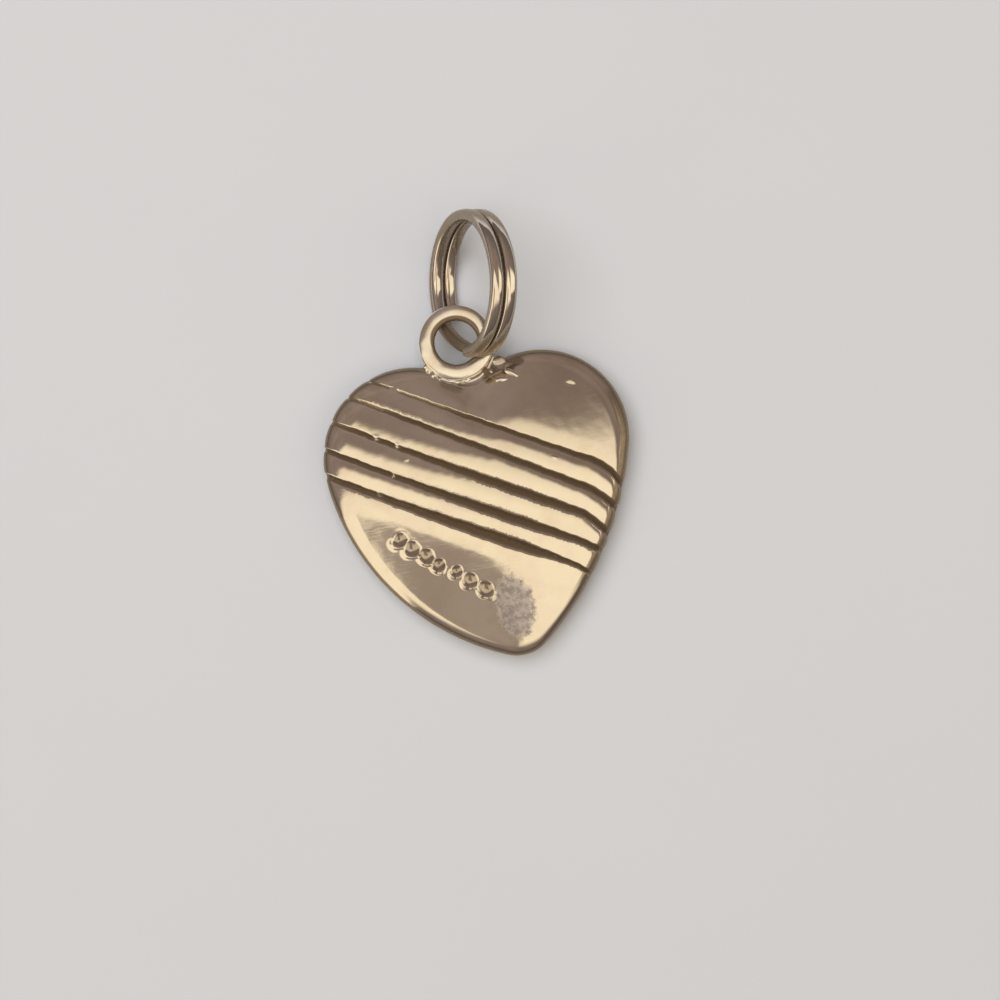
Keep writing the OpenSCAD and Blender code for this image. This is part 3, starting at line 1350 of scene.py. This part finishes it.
    def _band_fall(self, flat: np.ndarray) -> np.ndarray:
        """How far the bands fall away from their crests to the grooves.

        Args:
            flat: Flat points of the face.

        Returns:
            The fall at each point.
        """
        above, below, shares = [], [], []
        for groove in self.GROOVES:
            along, share = groove.spread(flat)
            half = groove.half_width(along)
            above.append((share - 1.0) * half * (1.0 - groove.SKEW))
            below.append((-share - 1.0) * half * (1.0 + groove.SKEW))
            shares.append(share)
        feet = [self.lower_fall] * len(self.GROOVES)
        feet[-1] *= self.last_foot
        top = self.lower_fall * np.clip(1.0 - above[0] / self.band_reach, 0.0, 1.0) ** 2
        last = self.upper_fall * np.clip(1.0 - below[-1] / self.band_reach, 0.0, 1.0) ** 2
        fall = np.where(above[0] > 0, top, 0.0)
        fall = np.where(below[-1] > 0, last, fall)
        for down, up, foot in zip(below, above[1:], feet[1:]):
            between = (down > 0) & (up > 0)
            place = 2.0 * down / np.where(between, down + up, 1.0) - 1.0
            depth = np.where(place < 0, self.upper_fall, foot)
            fall = np.where(between, depth * place ** 2, fall)
        for share, foot in zip(shares, feet):
            fall = np.where(np.abs(share) <= 1.0, np.where(share > 0, foot, self.upper_fall), fall)
        return fall

    def _flecks(self, flat: np.ndarray) -> tuple[np.ndarray, np.ndarray]:
        """Casting lumps on the face.

        Args:
            flat: Flat points of the face.

        Returns:
            The part of a groove that they fill, and how far they raise the face.
        """
        filled, raised = np.zeros(len(flat)), np.zeros(len(flat))
        for fleck in (*self.FLECKS, self.GAP_FLECK):
            far = np.hypot(flat[:, 0] - fleck.x, flat[:, 1] - fleck.y) / fleck.radius
            lump = np.exp(-(far ** 2) ** 1.4)
            filled = np.maximum(filled, fleck.fill * lump)
            raised = np.maximum(raised, fleck.rise * np.exp(-(far ** 2) * 1.5))
        return filled, raised

    def _rim_dark_reflection(self, normals: np.ndarray) -> np.ndarray:
        """Painted dark reflection on the edge, strongest below and on the right.

        Args:
            normals: Normals of the plain blank.

        Returns:
            The painted darkening at each point.
        """
        level = -normals[:, 2]
        way = normals[:, :2] / np.maximum(np.hypot(*normals[:, :2].T), 1e-6)[:, None]
        steep, below, right = (
            strength * smooth_rise(level, *edges) for strength, *edges in self.RIM_DARK_REFLECTIONS
        )
        below = below * smooth_rise(-way[:, 1], 0.55, 0.8)
        right = right * smooth_rise(way @ np.array(self.RIGHT_WAY), 0.7, 0.92)
        return np.maximum(np.maximum(steep, below), right)

    def _dark_blots(self, flat: np.ndarray) -> np.ndarray:
        """Soft dark blots on the face, one of them a painted shadow under the bail.

        Args:
            flat: Flat points of the face.

        Returns:
            The darkening at each.
        """
        patina = np.zeros(len(flat))
        for *blot, strength in self.DARK_BLOTS:
            patina = np.maximum(patina, strength * self._blot(flat, blot))
        return patina

    @staticmethod
    def _blot(flat: np.ndarray, blot: Sequence[float]) -> np.ndarray:
        """A long soft blot.

        Args:
            flat: Flat points of the face.
            blot: Its place, its turn in degrees, half its length and half its width.

        Returns:
            1 in its middle and 0 far outside it, for each point.
        """
        x, y, turn, half_length, half_width = blot
        c, s = math.cos(math.radians(turn)), math.sin(math.radians(turn))
        along = ((flat[:, 0] - x) * c + (flat[:, 1] - y) * s) / half_length
        across = ((flat[:, 1] - y) * c - (flat[:, 0] - x) * s) / half_width
        return np.exp(-(along ** 4) - across ** 2)

    def _dimples(self, flat: np.ndarray) -> tuple[np.ndarray, np.ndarray]:
        """A row of plain round punch dimples with raised rims.

        Args:
            flat: Flat points of the face.

        Returns:
            How far they sink the face, and the patina that they hold.
        """
        start, end = (np.array(p) for p in self.DIMPLE_ENDS)
        way = end - start
        across = np.array([-way[1], way[0]]) / np.hypot(*way)
        sunk, raised, patina = (np.zeros(len(flat)) for _ in range(3))
        wobble = 0.12 * np.sin(5.0 * flat[:, 0] + 3.0 * flat[:, 1])
        for share, off, radius in self.DIMPLES:
            middle = start + way * share + across * off
            away = (flat - middle) / radius
            far = np.hypot(*away.T) * (1.0 + wobble)
            bowl = np.clip(1.0 - far ** 2, 0.0, 1.0)
            low_side = np.clip(-(away @ np.array([0.45, 0.89])), 0.0, 1.0)
            rim = np.exp(-(((far - 1.12) / 0.2) ** 2)) * (0.03 + 0.97 * low_side)
            sunk = np.maximum(sunk, self.dimple_depth * bowl)
            raised = np.maximum(raised, self.dimple_lip * rim)
            patina = np.maximum(patina, smooth_rise(bowl, 0.0, 0.3) * self.dimple_patina)
        return sunk - raised * (1.0 - smooth_rise(sunk, 0.0, self.dimple_lip)), patina


@dataclass
class Bail:
    """The round wire hoop soldered into the cleft.

    Attributes:
        finish: Its silver.
        centre: Its centre.
        radius: Radius to the middle of its wire.
        wire: Thickness of its wire.
        unevenness: How far hand finishing leaves the wire uneven.
        flatness: How much filing takes off the wire's crown.
    """

    finish: SilverFinish
    centre: Point3 = (-0.2, 7.5, 1.7)
    radius: float = 1.47
    wire: float = 0.8
    unevenness: float = 0.03
    flatness: float = 0.8

    STEPS, SIDES = 96, 40
    SEED = 4.0
    # Painted dark reflection on all of the hoop that faces sideways.
    SIDE_SHADE = 0.25

    def build(self) -> bpy.types.Object:
        """Sweeps the wire round the hoop with Geometry Nodes.

        Returns:
            The finished piece.
        """
        material = self.finish.material()
        tool = NodeTool("bail_hoop", {
            "Hoop Radius": self.radius,
            "Wire Radius": self.wire / 2,
            "Steps": self.STEPS,
            "Sides": self.SIDES,
            "Unevenness": self.unevenness,
            "Seed": self.SEED,
            "Flatness": self.flatness,
            "Centre": self.centre,
            "Finish": material,
        })
        graph = tool.graph
        swept = graph.node(
            "GeometryNodeCurveToMesh",
            inputs={
                "Curve": tool.circle("Steps", "Hoop Radius"),
                "Profile Curve": tool.circle("Sides", "Wire Radius"),
            },
        )
        waves = graph.node(
            "ShaderNodeTexNoise",
            {"noise_dimensions": "4D"},
            {"Scale": 0.9, "Detail": 1.0, "W": tool.read("Seed")},
        )
        push = graph.scaled(
            graph.node("GeometryNodeInputNormal"), (waves - 0.62) * tool.read("Unevenness") * 2.0
        )
        height = graph.split(graph.node("GeometryNodeInputPosition")).other("Z")
        crown = (height - tool.read("Wire Radius") * 0.5).at_least(0.0)
        filing = graph.joined(Z=crown * tool.read("Flatness") * -1.0)
        worn = swept
        for offset in (filing, push):
            worn = graph.node(
                "GeometryNodeSetPosition", inputs={"Geometry": worn, "Offset": offset}
            )
        placed = graph.node(
            "GeometryNodeTransform",
            inputs={"Geometry": worn, "Translation": tool.read("Centre")},
        )
        tool.close(placed, tool.read("Finish"))
        mesh = tool.run(Bench.mesh_of("bail_seed", [(0, 0, 0)]))
        # Painted shade inside the hoop and painted dark reflection on its sides.
        Bench.darken(mesh, self._painted_shade, self.SIDE_SHADE)
        return Bench.publish("bail_hoop", mesh, material, Slot.CAST_SILVER)

    def _painted_shade(self, points: np.ndarray) -> np.ndarray:
        """Painted shade down the inside of the hoop, reaching highest in its far half.

        Args:
            points: Points of the hoop.

        Returns:
            The painted shade at each.
        """
        far = np.hypot(points[:, 0] - self.centre[0], points[:, 1] - self.centre[1])
        above = smooth_rise(points[:, 1] - self.centre[1], -0.4, 0.9)
        return 0.85 * smooth_rise(self.radius - far, 0.2 - 0.12 * above, 0.33 - 0.14 * above)


@dataclass(frozen=True)
class Drop:
    """A drop of molten solder.

    Attributes:
        centre: Its middle.
        size: Its half length, half width and half height.
        turn: Turn of its length from X, in degrees.
    """

    centre: Vector
    size: Point3
    turn: float = 0.0


@dataclass
class Solder:
    """The solder that holds the bail, its ragged seam and the beads beside it.

    Attributes:
        finish: Its silver.
        shape: The heart that it runs onto.
        bail: The hoop that it holds.
        voxel: Fineness of the melted skin.
        seed: Seed of its unevenness.
    """

    finish: SilverFinish
    shape: HeartShape
    bail: Bail
    voxel: float = 0.026
    seed: float = 11.3

    # A drop of the fillet is its angle from straight down, its height and its radius.
    FILLET = ((-64, 1.12, 0.28), (-44, 1.12, 0.34), (-22, 1.12, 0.37), (0, 1.12, 0.38),
              (22, 1.12, 0.38), (44, 1.12, 0.38), (64, 1.12, 0.32))
    # A bead is its place, half its length, width and height, its turn and its lift off the face.
    BEADS = (
        (1.62, 5.27, 0.31, 0.155, 0.07, -4.0, 0.0),
        (2.17, 5.49, 0.40, 0.155, 0.07, -39.0, 0.0),
        (1.16, 5.8, 0.15, 0.08, 0.05, -57.0, 0.05),
        (1.69, 6.2, 0.33, 0.27, 0.03, -28.0, 0.07),
    )
    # A dark spot is its place, radius and strength: one beside the bail, then painted shade dulling
    # the big bead.
    DARK_SPOTS = ((0.98, 5.81, 0.2, 1.0), (1.69, 6.2, 0.42, 0.5))
    SEAM_FROM, SEAM_TO, SEAM_STEPS = -64.0, 9.0, 38
    FILL_FROM, FILL_TO = -52.0, 58.0
    FILL_ROWS, FILL_COLUMNS, FILL_BOTTOM = 100, 44, 0.95
    MELT_FINENESS, BEAD_FINENESS = 3, 4
    FLOW, FLOW_STEPS = 0.5, 14
    SEAM_OFF, SEAM_STRAY = 0.05, 0.06
    SEAM_WIDTH, SEAM_SWELL, SEAM_HEIGHT = 0.135, 0.06, 0.11
    SEAM_LOWEST, SEAM_LIFT = 1.52, 0.02
    BEAD_LOWEST = 1.5

    def build(self) -> bpy.types.Object:
        """Melts the fillet and the seam into one skin and adds the smooth fill and beads.

        Returns:
            The finished piece.
        """
        drops = self._drops("solder_drops", self._fillet() + self._seam(), self.MELT_FINENESS)
        form = stand_in_scene("solder_form", drops)
        melt = form.modifiers.new("melt", "REMESH")
        melt.mode = "VOXEL"
        melt.voxel_size = self.voxel
        smooth = form.modifiers.new("flow", "SMOOTH")
        smooth.factor, smooth.iterations = self.FLOW, self.FLOW_STEPS
        joined = bmesh.new()
        beads = self._drops("beads", self._beads(), self.BEAD_FINENESS)
        for part in (Bench.plain_mesh(form), self._fill(), beads):
            joined.from_mesh(part)
            bpy.data.meshes.remove(part)
        melted = bpy.data.meshes.new("solder_skin")
        joined.to_mesh(melted)
        joined.free()
        # Dark spots, one a painted shade on the big bead, with specks of patina.
        Bench.set_patina(melted, np.array([self._dark_spots_and_specks(v.co) for v in melted.vertices]))
        return Bench.publish("solder", melted, self.finish.material(), Slot.CAST_SILVER)

    def _dark_spots_and_specks(self, point: Vector) -> float:
        """Dark spots, one of them painted shade on the big bead, and specks of patina on the solder.

        Args:
            point: A point of the solder.

        Returns:
            The darkening there.
        """
        spots = (
            strength * math.exp(-(((point.x - x) ** 2 + (point.y - y) ** 2) / radius ** 2) ** 2)
            for x, y, radius, strength in self.DARK_SPOTS
        )
        speck = noise.noise(Vector(point) * 2.6) * 0.5 + 0.5
        return max(*spots, 0.5 * float(smooth_rise(np.array(speck), 0.64, 0.74)))

    def _face(self, x: float, y: float) -> float:
        """Height of the heart's face at a flat point."""
        return float(self.shape.surface(np.array([[x, y]]))[0])

    def _round_bail(self, side: float, far: float, height: float) -> Vector:
        """A point round the bail.

        Args:
            side: Angle from straight down, in degrees.
            far: Distance from the bail's centre.
            height: Height above the back.

        Returns:
            The point.
        """
        x, y, _ = self.bail.centre
        angle = math.radians(side)
        return Vector((x + far * math.sin(angle), y - far * math.cos(angle), height))

    def _fillet(self) -> list[Drop]:
        """Solder drawn up under the bail.

        Returns:
            The drops.
        """
        return [
            Drop(self._round_bail(side, self.bail.radius + 0.1, height), (radius,) * 3)
            for side, height, radius in self.FILLET
        ]

    @staticmethod
    def _drops(name: str, drops: Sequence[Drop], fineness: int) -> bpy.types.Mesh:
        """Makes drops as closed ellipsoids.

        Args:
            name: The mesh's name.
            drops: The drops.
            fineness: How often each ball is subdivided.

        Returns:
            The mesh of all of them.
        """
        merged = bmesh.new()
        for drop in drops:
            place = (
                Matrix.Translation(drop.centre)
                @ Matrix.Rotation(math.radians(drop.turn), 4, "Z")
                @ Matrix.Diagonal((*drop.size, 1.0))
            )
            bmesh.ops.create_icosphere(merged, subdivisions=fineness, radius=1.0, matrix=place)
        mesh = bpy.data.meshes.new(name)
        merged.to_mesh(mesh)
        merged.free()
        return mesh

    def _fill(self) -> bpy.types.Mesh:
        """Solder that fills the cleft and carries the dome on to the bail.

        Returns:
            A closed patch, flush with the dome and sunk under its edge.
        """
        sides = np.linspace(self.FILL_FROM, self.FILL_TO, self.FILL_ROWS)
        fars = np.linspace(self.bail.radius + 0.1, self.bail.radius + 1.2, self.FILL_COLUMNS)
        spots = np.array([self._round_bail(a, f, 0.0)[:2] for a in sides for f in fars])
        level = self.shape.level_of(spots)
        sink = 0.02 * smooth_rise(-level, -self.shape.shoulder_level, -0.86)
        sink = sink + 0.12 * smooth_rise(-np.repeat(sides, len(fars)), 26.0, 44.0)
        top = self.shape.dome_z(level) - sink
        rows, columns = len(sides), len(fars)
        points = [(*p, z) for p, z in zip(spots, top)]
        points += [(*p, self.FILL_BOTTOM) for p in spots]
        faces = []
        for row in range(rows - 1):
            for column in range(columns - 1):
                a = row * columns + column
                b, c, d = a + columns, a + columns + 1, a + 1
                faces += [(a, d, c, b), tuple(k + rows * columns for k in (a, b, c, d))]
        rim = (
            [(0, c) for c in range(columns)] + [(r, columns - 1) for r in range(1, rows)]
            + [(rows - 1, c) for c in range(columns - 2, -1, -1)]
            + [(r, 0) for r in range(rows - 2, 0, -1)]
        )
        edge = [r * columns + c for r, c in rim]
        under = [k + rows * columns for k in edge]
        return Bench.mesh_of("solder_fill", points, faces + Casting.strip(edge, under))

    def _seam(self) -> list[Drop]:
        """The uneven seam along the bail's outer edge.

        Returns:
            The drops.
        """
        drops = []
        for step in range(self.SEAM_STEPS):
            side = self.SEAM_FROM + (self.SEAM_TO - self.SEAM_FROM) * step / self.SEAM_STEPS
            swell = noise.noise(Vector((step * 0.33, self.seed, 0.0)))
            stray = noise.noise(Vector((step * 0.45, self.seed, 5.0)))
            far = self.bail.radius + self.bail.wire / 2 + self.SEAM_OFF + self.SEAM_STRAY * stray
            spot = self._round_bail(side, far, 0.0)
            spot.z = max(self._face(spot.x, spot.y), self.SEAM_LOWEST) + self.SEAM_LIFT * swell
            width = self.SEAM_WIDTH + self.SEAM_SWELL * swell
            drops.append(Drop(spot, (width, width, self.SEAM_HEIGHT)))
        return drops

    def _beads(self) -> list[Drop]:
        """Beads of solder that ran onto the right lobe.

        Returns:
            The drops.
        """
        drops = []
        for x, y, length, width, height, turn, lift in self.BEADS:
            middle = Vector((x, y, max(self._face(x, y), self.BEAD_LOWEST) + lift))
            drops.append(Drop(middle, (length, width, height), turn))
        return drops


@dataclass
class SplitRing:
    """Two turns of wire side by side, which change places in a short crank.

    Attributes:
        finish: Its silver.
        bail: The hoop that it hangs in.
        centre: Its place on the table.
        radius: Radius to the middle of its wire.
        wire: Thickness of its wire, from its inside to its outside.
        wire_w: Width of the wire, along the ring's axis.
        gap: Gap between the turns.
        lean: Lean of its plane from upright, in degrees.
        turn: Turn of its long axis, clockwise from Y, in degrees.
        crank_at: Where the crank lies round the ring, in degrees.
        crank_angle: How much of a turn the crank takes, in degrees.
        rounding: Length of the rounded ends, as a share of the wire's radius.
    """

    finish: SilverFinish
    bail: Bail
    centre: Point2 = (1.14, 10.02)
    radius: float = 3.3
    wire: float = 0.55
    wire_w: float = 0.64
    gap: float = 0.06
    lean: float = 27.0
    turn: float = 7.8
    crank_at: float = 215.0
    crank_angle: float = 64.0
    rounding: float = 0.8

    STEPS, SIDES = 440, 28
    # Painted dark reflection on all of the wire that faces sideways.
    SIDE_SHADE = 0.7

    def build(self) -> bpy.types.Object:
        """Sweeps the wire along its two turns with Geometry Nodes.

        Returns:
            The finished piece.
        """
        material = self.finish.material()
        pitch = self.wire_w + self.gap
        lean = math.radians(self.lean)
        foot = math.hypot(self.wire * math.cos(lean), self.wire_w * math.sin(lean)) / 2
        height = self.radius * math.cos(lean) + pitch / 2 * math.sin(lean) + foot
        spread = self.wire_w / self.wire
        tool = NodeTool("split_ring_wire", {
            "Ring Radius": self.radius,
            "Wire Radius": self.wire / 2,
            "Pitch": pitch / spread,
            "Spread": (1.0, 1.0, spread),
            "Start": math.radians(self.crank_at + self.crank_angle / 2),
            "Crank": math.radians(self.crank_angle),
            "Steps": self.STEPS,
            "Sides": self.SIDES,
            "Rounding": self.rounding,
            "Centre": (*self.centre, height),
            "Stand": (math.radians(90.0 + self.lean), 0.0, math.radians(90.0 - self.turn)),
            "Finish": material,
        })
        graph = tool.graph
        run = self._run(tool)
        wire = graph.node(
            "GeometryNodeCurveToMesh",
            inputs={
                "Curve": self._line(tool, run),
                "Profile Curve": self._section(tool),
                "Fill Caps": True,
            },
        )
        placed = graph.node(
            "GeometryNodeTransform",
            inputs={
                "Geometry": wire,
                "Translation": tool.read("Centre"),
                "Rotation": tool.read("Stand"),
                "Scale": tool.read("Spread"),
            },
        )
        tool.close(placed, tool.read("Finish"))
        mesh = tool.run(Bench.mesh_of("ring_seed", [(0, 0, 0)]))
        # Painted shade and painted dark reflection on the wire, stored with the patina.
        Bench.darken(mesh, self._painted_shade, self.SIDE_SHADE)
        return Bench.publish(
            "split_ring_wire", mesh, material, Slot.RING_SILVER, CadNode.SPLIT_RING
        )

    def _painted_shade(self, points: np.ndarray) -> np.ndarray:
        """Painted shade on the wire inside the bail, and painted dark reflection over its far bend.

        Args:
            points: Points of the wire.

        Returns:
            The painted darkening at each.
        """
        far = np.hypot(points[:, 0] - self.bail.centre[0], points[:, 1] - self.bail.centre[1])
        inside = smooth_rise(-far, -1.7, -1.2) * smooth_rise(-points[:, 2], -3.9, -3.3)
        bend = smooth_rise(points[:, 1], self.centre[1] + 1.4, self.centre[1] + 3.2)
        return np.maximum(0.9 * inside, 0.5 * bend)

    @staticmethod
    def _section(tool: NodeTool) -> Value:
        """The wire's section: a circle drawn out towards a rounded square.

        Args:
            tool: The ring's tree.

        Returns:
            The closed curve of the section.
        """
        graph = tool.graph
        place = graph.node("GeometryNodeInputPosition")
        spot = graph.split(place)
        across = graph.math("ABSOLUTE", spot / tool.read("Wire Radius"))
        up = graph.math("ABSOLUTE", spot.other("Y") / tool.read("Wire Radius"))
        share = (across ** 3.0 + up ** 3.0) ** (-1.0 / 3.0)
        return graph.node(
            "GeometryNodeSetPosition",
            inputs={
                "Geometry": tool.circle("Sides", "Wire Radius"),
                "Position": graph.scaled(place, share),
            },
        )

    @staticmethod
    def _run(tool: NodeTool) -> Value:
        """How far each point lies along the two turns.

        Args:
            tool: The ring's tree.

        Returns:
            The angle from the wire's start, in radians.
        """
        index = tool.graph.node("GeometryNodeInputIndex")
        whole = 4.0 * math.pi - tool.read("Crank")
        return index * whole / (tool.read("Steps") - 1.0)

    @staticmethod
    def _line(tool: NodeTool, run: Value) -> Value:
        """The middle line of the wire, in the ring's own plane.

        Args:
            tool: The ring's tree.
            run: How far each point lies along it.

        Returns:
            A curve of two turns with a crank between them.
        """
        graph = tool.graph
        line = graph.node("GeometryNodeMeshLine", inputs={"Count": tool.read("Steps")})
        turn_over = graph.node(
            "ShaderNodeMapRange",
            {"interpolation_type": "SMOOTHSTEP"},
            {"Value": run, "From Min": 2.0 * math.pi - tool.read("Crank"),
             "From Max": 2.0 * math.pi},
        )
        angle = run + tool.read("Start")
        place = graph.joined(
            X=angle.cosine() * tool.read("Ring Radius"),
            Y=angle.sine() * tool.read("Ring Radius"),
            Z=(0.5 - turn_over) * tool.read("Pitch"),
        )
        bent = graph.node("GeometryNodeSetPosition", inputs={"Geometry": line, "Position": place})
        curve = graph.node("GeometryNodeMeshToCurve", inputs={"Mesh": bent})
        end = graph.math("MINIMUM", run, 4.0 * math.pi - tool.read("Crank") - run)
        share = end * tool.read("Ring Radius") / tool.read("Wire Radius") / tool.read("Rounding")
        worn = (1.0 - (1.0 - share.at_most(1.0)) ** 2).at_least(0.0) ** 0.5
        return graph.node(
            "GeometryNodeSetCurveRadius",
            inputs={"Curve": curve, "Radius": worn.at_least(0.3)},
        )


@dataclass(frozen=True)
class Studio:
    """Floor, camera and plain soft light.

    The sky is a wide overhead softbox and a low window in a dim warm room. Directions in it are
    given as slopes from straight up, to the picture's right and to its top.

    Attributes:
        camera_height: Height of the camera above the floor.
        camera_over: The point that it looks straight down at.
        view_half_slope: Slope of the view's edge.
        lean: Turn of the picture's top from Y, clockwise, in degrees.
        softbox: Radiance of the softbox.
        room: Radiance of the room overhead and behind.
        dim_room: Radiance of its dim side.
        horizon: Radiance of the room low down.
        fill_power: Power of the neutral fill, in watts.
    """

    camera_height: float = 100.0
    camera_over: Point2 = (0.356, -0.535)
    view_half_slope: float = 0.25078
    lean: float = 11.6
    softbox: Colour = (0.96, 0.82, 0.60)
    room: Colour = (0.275, 0.212, 0.18)
    dim_room: Colour = (0.19, 0.137, 0.107)
    horizon: Colour = (0.13, 0.105, 0.09)
    fill_power: float = 1.6

    SENSOR = 36.0
    CLIP = (0.002, 20.0)
    FLOOR_HALF = 1500.0
    FILL_AT, FILL_SIZE = (-0.10, 0.12, 0.45), 0.5
    FLAG_SHARE = 0.9
    # Soft edges of the window, as slopes at which it starts and is full.
    WINDOW_SIDES, WINDOW_ENDS = ((0.8, 0.95), (4.0, 2.6)), ((0.55, 0.3), (-0.6, -0.45))
    # Edges of the softbox: its top, its upper right, its upper left and its bottom.
    PANEL_EDGES = ((0.04, -0.06), (0.60, 0.44), (-1.1, -0.9), (-1.1, -0.6))
    # Edges of the flag: its top, its right, its rounded left end and where that end begins.
    FLAG_EDGES = ((-0.236, -0.248), (0.12, 0.06), (0.357, 0.349), (-0.24, -0.14))
    GRADE_EDGES, GRADE = (0.25, -0.1), 0.26
    LOW_EDGES = (0.75, 0.2)

    def build(self) -> None:
        """Sets the floor, the camera, the sky and the fill light."""
        self._floor()
        self._camera()
        self._sky()
        self._fill()
        bpy.context.scene.view_settings.view_transform = "Standard"

    def _floor(self) -> None:
        """Lays the plain floor."""
        half = self.FLOOR_HALF
        mesh = Bench.mesh_of(
            "floor", [(-half, -half, 0), (half, -half, 0), (half, half, 0), (-half, half, 0)],
            [(0, 1, 2, 3)],
        )
        mesh.transform(Matrix.Scale(MM, 4))
        mesh.materials.append(FloorFinish().material())
        stand_in_scene("floor", mesh)

    def _camera(self) -> None:
        """Sets the camera looking straight down, turned as the photograph was."""
        lens = bpy.data.cameras.new("camera")
        lens.sensor_width = self.SENSOR
        lens.lens = self.SENSOR / 2 / self.view_half_slope
        lens.clip_start, lens.clip_end = self.CLIP
        camera = stand_in_scene("camera", lens)
        camera.location = (*(c * MM for c in self.camera_over), self.camera_height * MM)
        camera.rotation_euler = (0.0, 0.0, -math.radians(self.lean))
        bpy.context.scene.camera = camera

    def _sky(self) -> None:
        """Builds the room and its softbox as the world's light."""
        world = bpy.data.worlds.new("studio_sky")
        world.use_nodes = True
        bpy.context.scene.world = world
        graph = Graph(world.node_tree)
        split = graph.split(graph.node("ShaderNodeTexCoord", output="Generated"))
        up = split.other("Z").at_least(0.03)
        right_x, right_y = turned((1.0, 0.0), -self.lean)
        top_x, top_y = turned((0.0, 1.0), -self.lean)
        right = (split * right_x + split.other("Y") * right_y) / up
        top = (split * top_x + split.other("Y") * top_y) / up
        left_edge, right_edge = (right.rise(*edges) for edges in self.WINDOW_SIDES)
        top_edge, bottom_edge = (top.rise(*edges) for edges in self.WINDOW_ENDS)
        window = left_edge * right_edge * top_edge * bottom_edge
        grade = top.rise(*self.GRADE_EDGES) * self.GRADE + (1.0 - self.GRADE)
        clouds = graph.noise(graph.joined(X=right, Y=top), 3.0, 1.0)
        shade = clouds.rise(0.3, 0.7) * 0.55 + right.rise(-0.15, 0.2) * 0.45
        low = up.rise(*self.LOW_EDGES)
        room = graph.mix(low, graph.mix(shade, self.room, self.dim_room), self.horizon)
        panel = self._panel(graph, right, top)
        flag = self._flag(graph, right, top)
        light = graph.math("MAXIMUM", panel * (1.0 - flag * self.FLAG_SHARE) * grade, window)
        colour = graph.mix(light, room, self.softbox)
        sky = graph.node("ShaderNodeBackground", inputs={"Color": colour, "Strength": 1.0})
        graph.node("ShaderNodeOutputWorld", inputs={"Surface": sky})

    def _panel(self, graph: Graph, right: Value, top: Value) -> Value:
        """Masks the softbox overhead.

        Args:
            graph: The sky's graph.
            right: Slopes to the picture's right.
            top: Slopes to its top.

        Returns:
            1 on the softbox and 0 beside it.
        """
        upper, upper_right, upper_left, lower = self.PANEL_EDGES
        edge = graph.math("MINIMUM", right * 0.5 + 0.22, 0.285 - right * 0.43)
        aside = right.rise(-0.35, -0.55) * (top - right * 1.3).rise(-0.1, 0.2)
        return (
            (top - edge).rise(*upper)
            * (right + top).rise(*upper_right)
            * (right - top * 2.2).rise(*upper_left)
            * graph.math("MAXIMUM", top.rise(*lower), aside)
        )

    def _flag(self, graph: Graph, right: Value, top: Value) -> Value:
        """Masks the dark flag that hangs in front of the softbox.

        Args:
            graph: The sky's graph.
            right: Slopes to the picture's right.
            top: Slopes to its top.

        Returns:
            1 behind the flag and 0 beside it.
        """
        upper, outer, rounded, begins = self.FLAG_EDGES
        reach = (
            (right * right + top * top) ** 0.5 + top * 0.267
            - (-0.31 - top).at_least(0.0) * 0.55
        )
        return (
            (top + right * 0.30).rise(*upper) * right.rise(*outer)
            * graph.math("MAXIMUM", reach.rise(*rounded), right.rise(*begins))
        )

    def _fill(self) -> None:
        """Hangs a wide neutral fill that lights the floor and isn't mirrored in the metal."""
        lamp = bpy.data.lights.new("fill", "AREA")
        lamp.shape, lamp.size, lamp.energy = "DISK", self.FILL_SIZE, self.fill_power
        light = stand_in_scene("fill", lamp)
        light.location = self.FILL_AT
        light.rotation_euler = Vector(self.FILL_AT).to_track_quat("Z", "Y").to_euler()
        light.visible_glossy = False


def main() -> None:
    """Builds the studio and the charm, piece by piece."""
    logging.basicConfig(level=logging.INFO, format="%(name)s: %(message)s")
    Studio().build()
    shape = HeartShape()
    cast = SilverFinish("cast_silver_worn", stain_at=(0.03, -5.85))
    # The bail and solder take a paler copy of the silver, a painted brightening of their highlights.
    soldered = SilverFinish(
        "solder_silver", metal=(1.0, 0.98, 0.94), gloss_rough=0.15, tarnish_share=0.12
    )
    # The ring's silver is paler too, a painted brightening of its highlights.
    wire = SilverFinish(
        "ring_silver_bright", metal=(1.0, 0.96, 0.88), gloss_rough=0.08, rough_spread=0.05,
        tarnish_share=0.16,
    )
    bail = Bail(soldered)
    for builder in (Casting(shape, cast), bail, Solder(soldered, shape, bail), SplitRing(wire, bail)):
        piece = builder.build()
        log.info("%s built by %s", piece.name, type(builder).__name__)


if __name__ == "__main__":
    main()
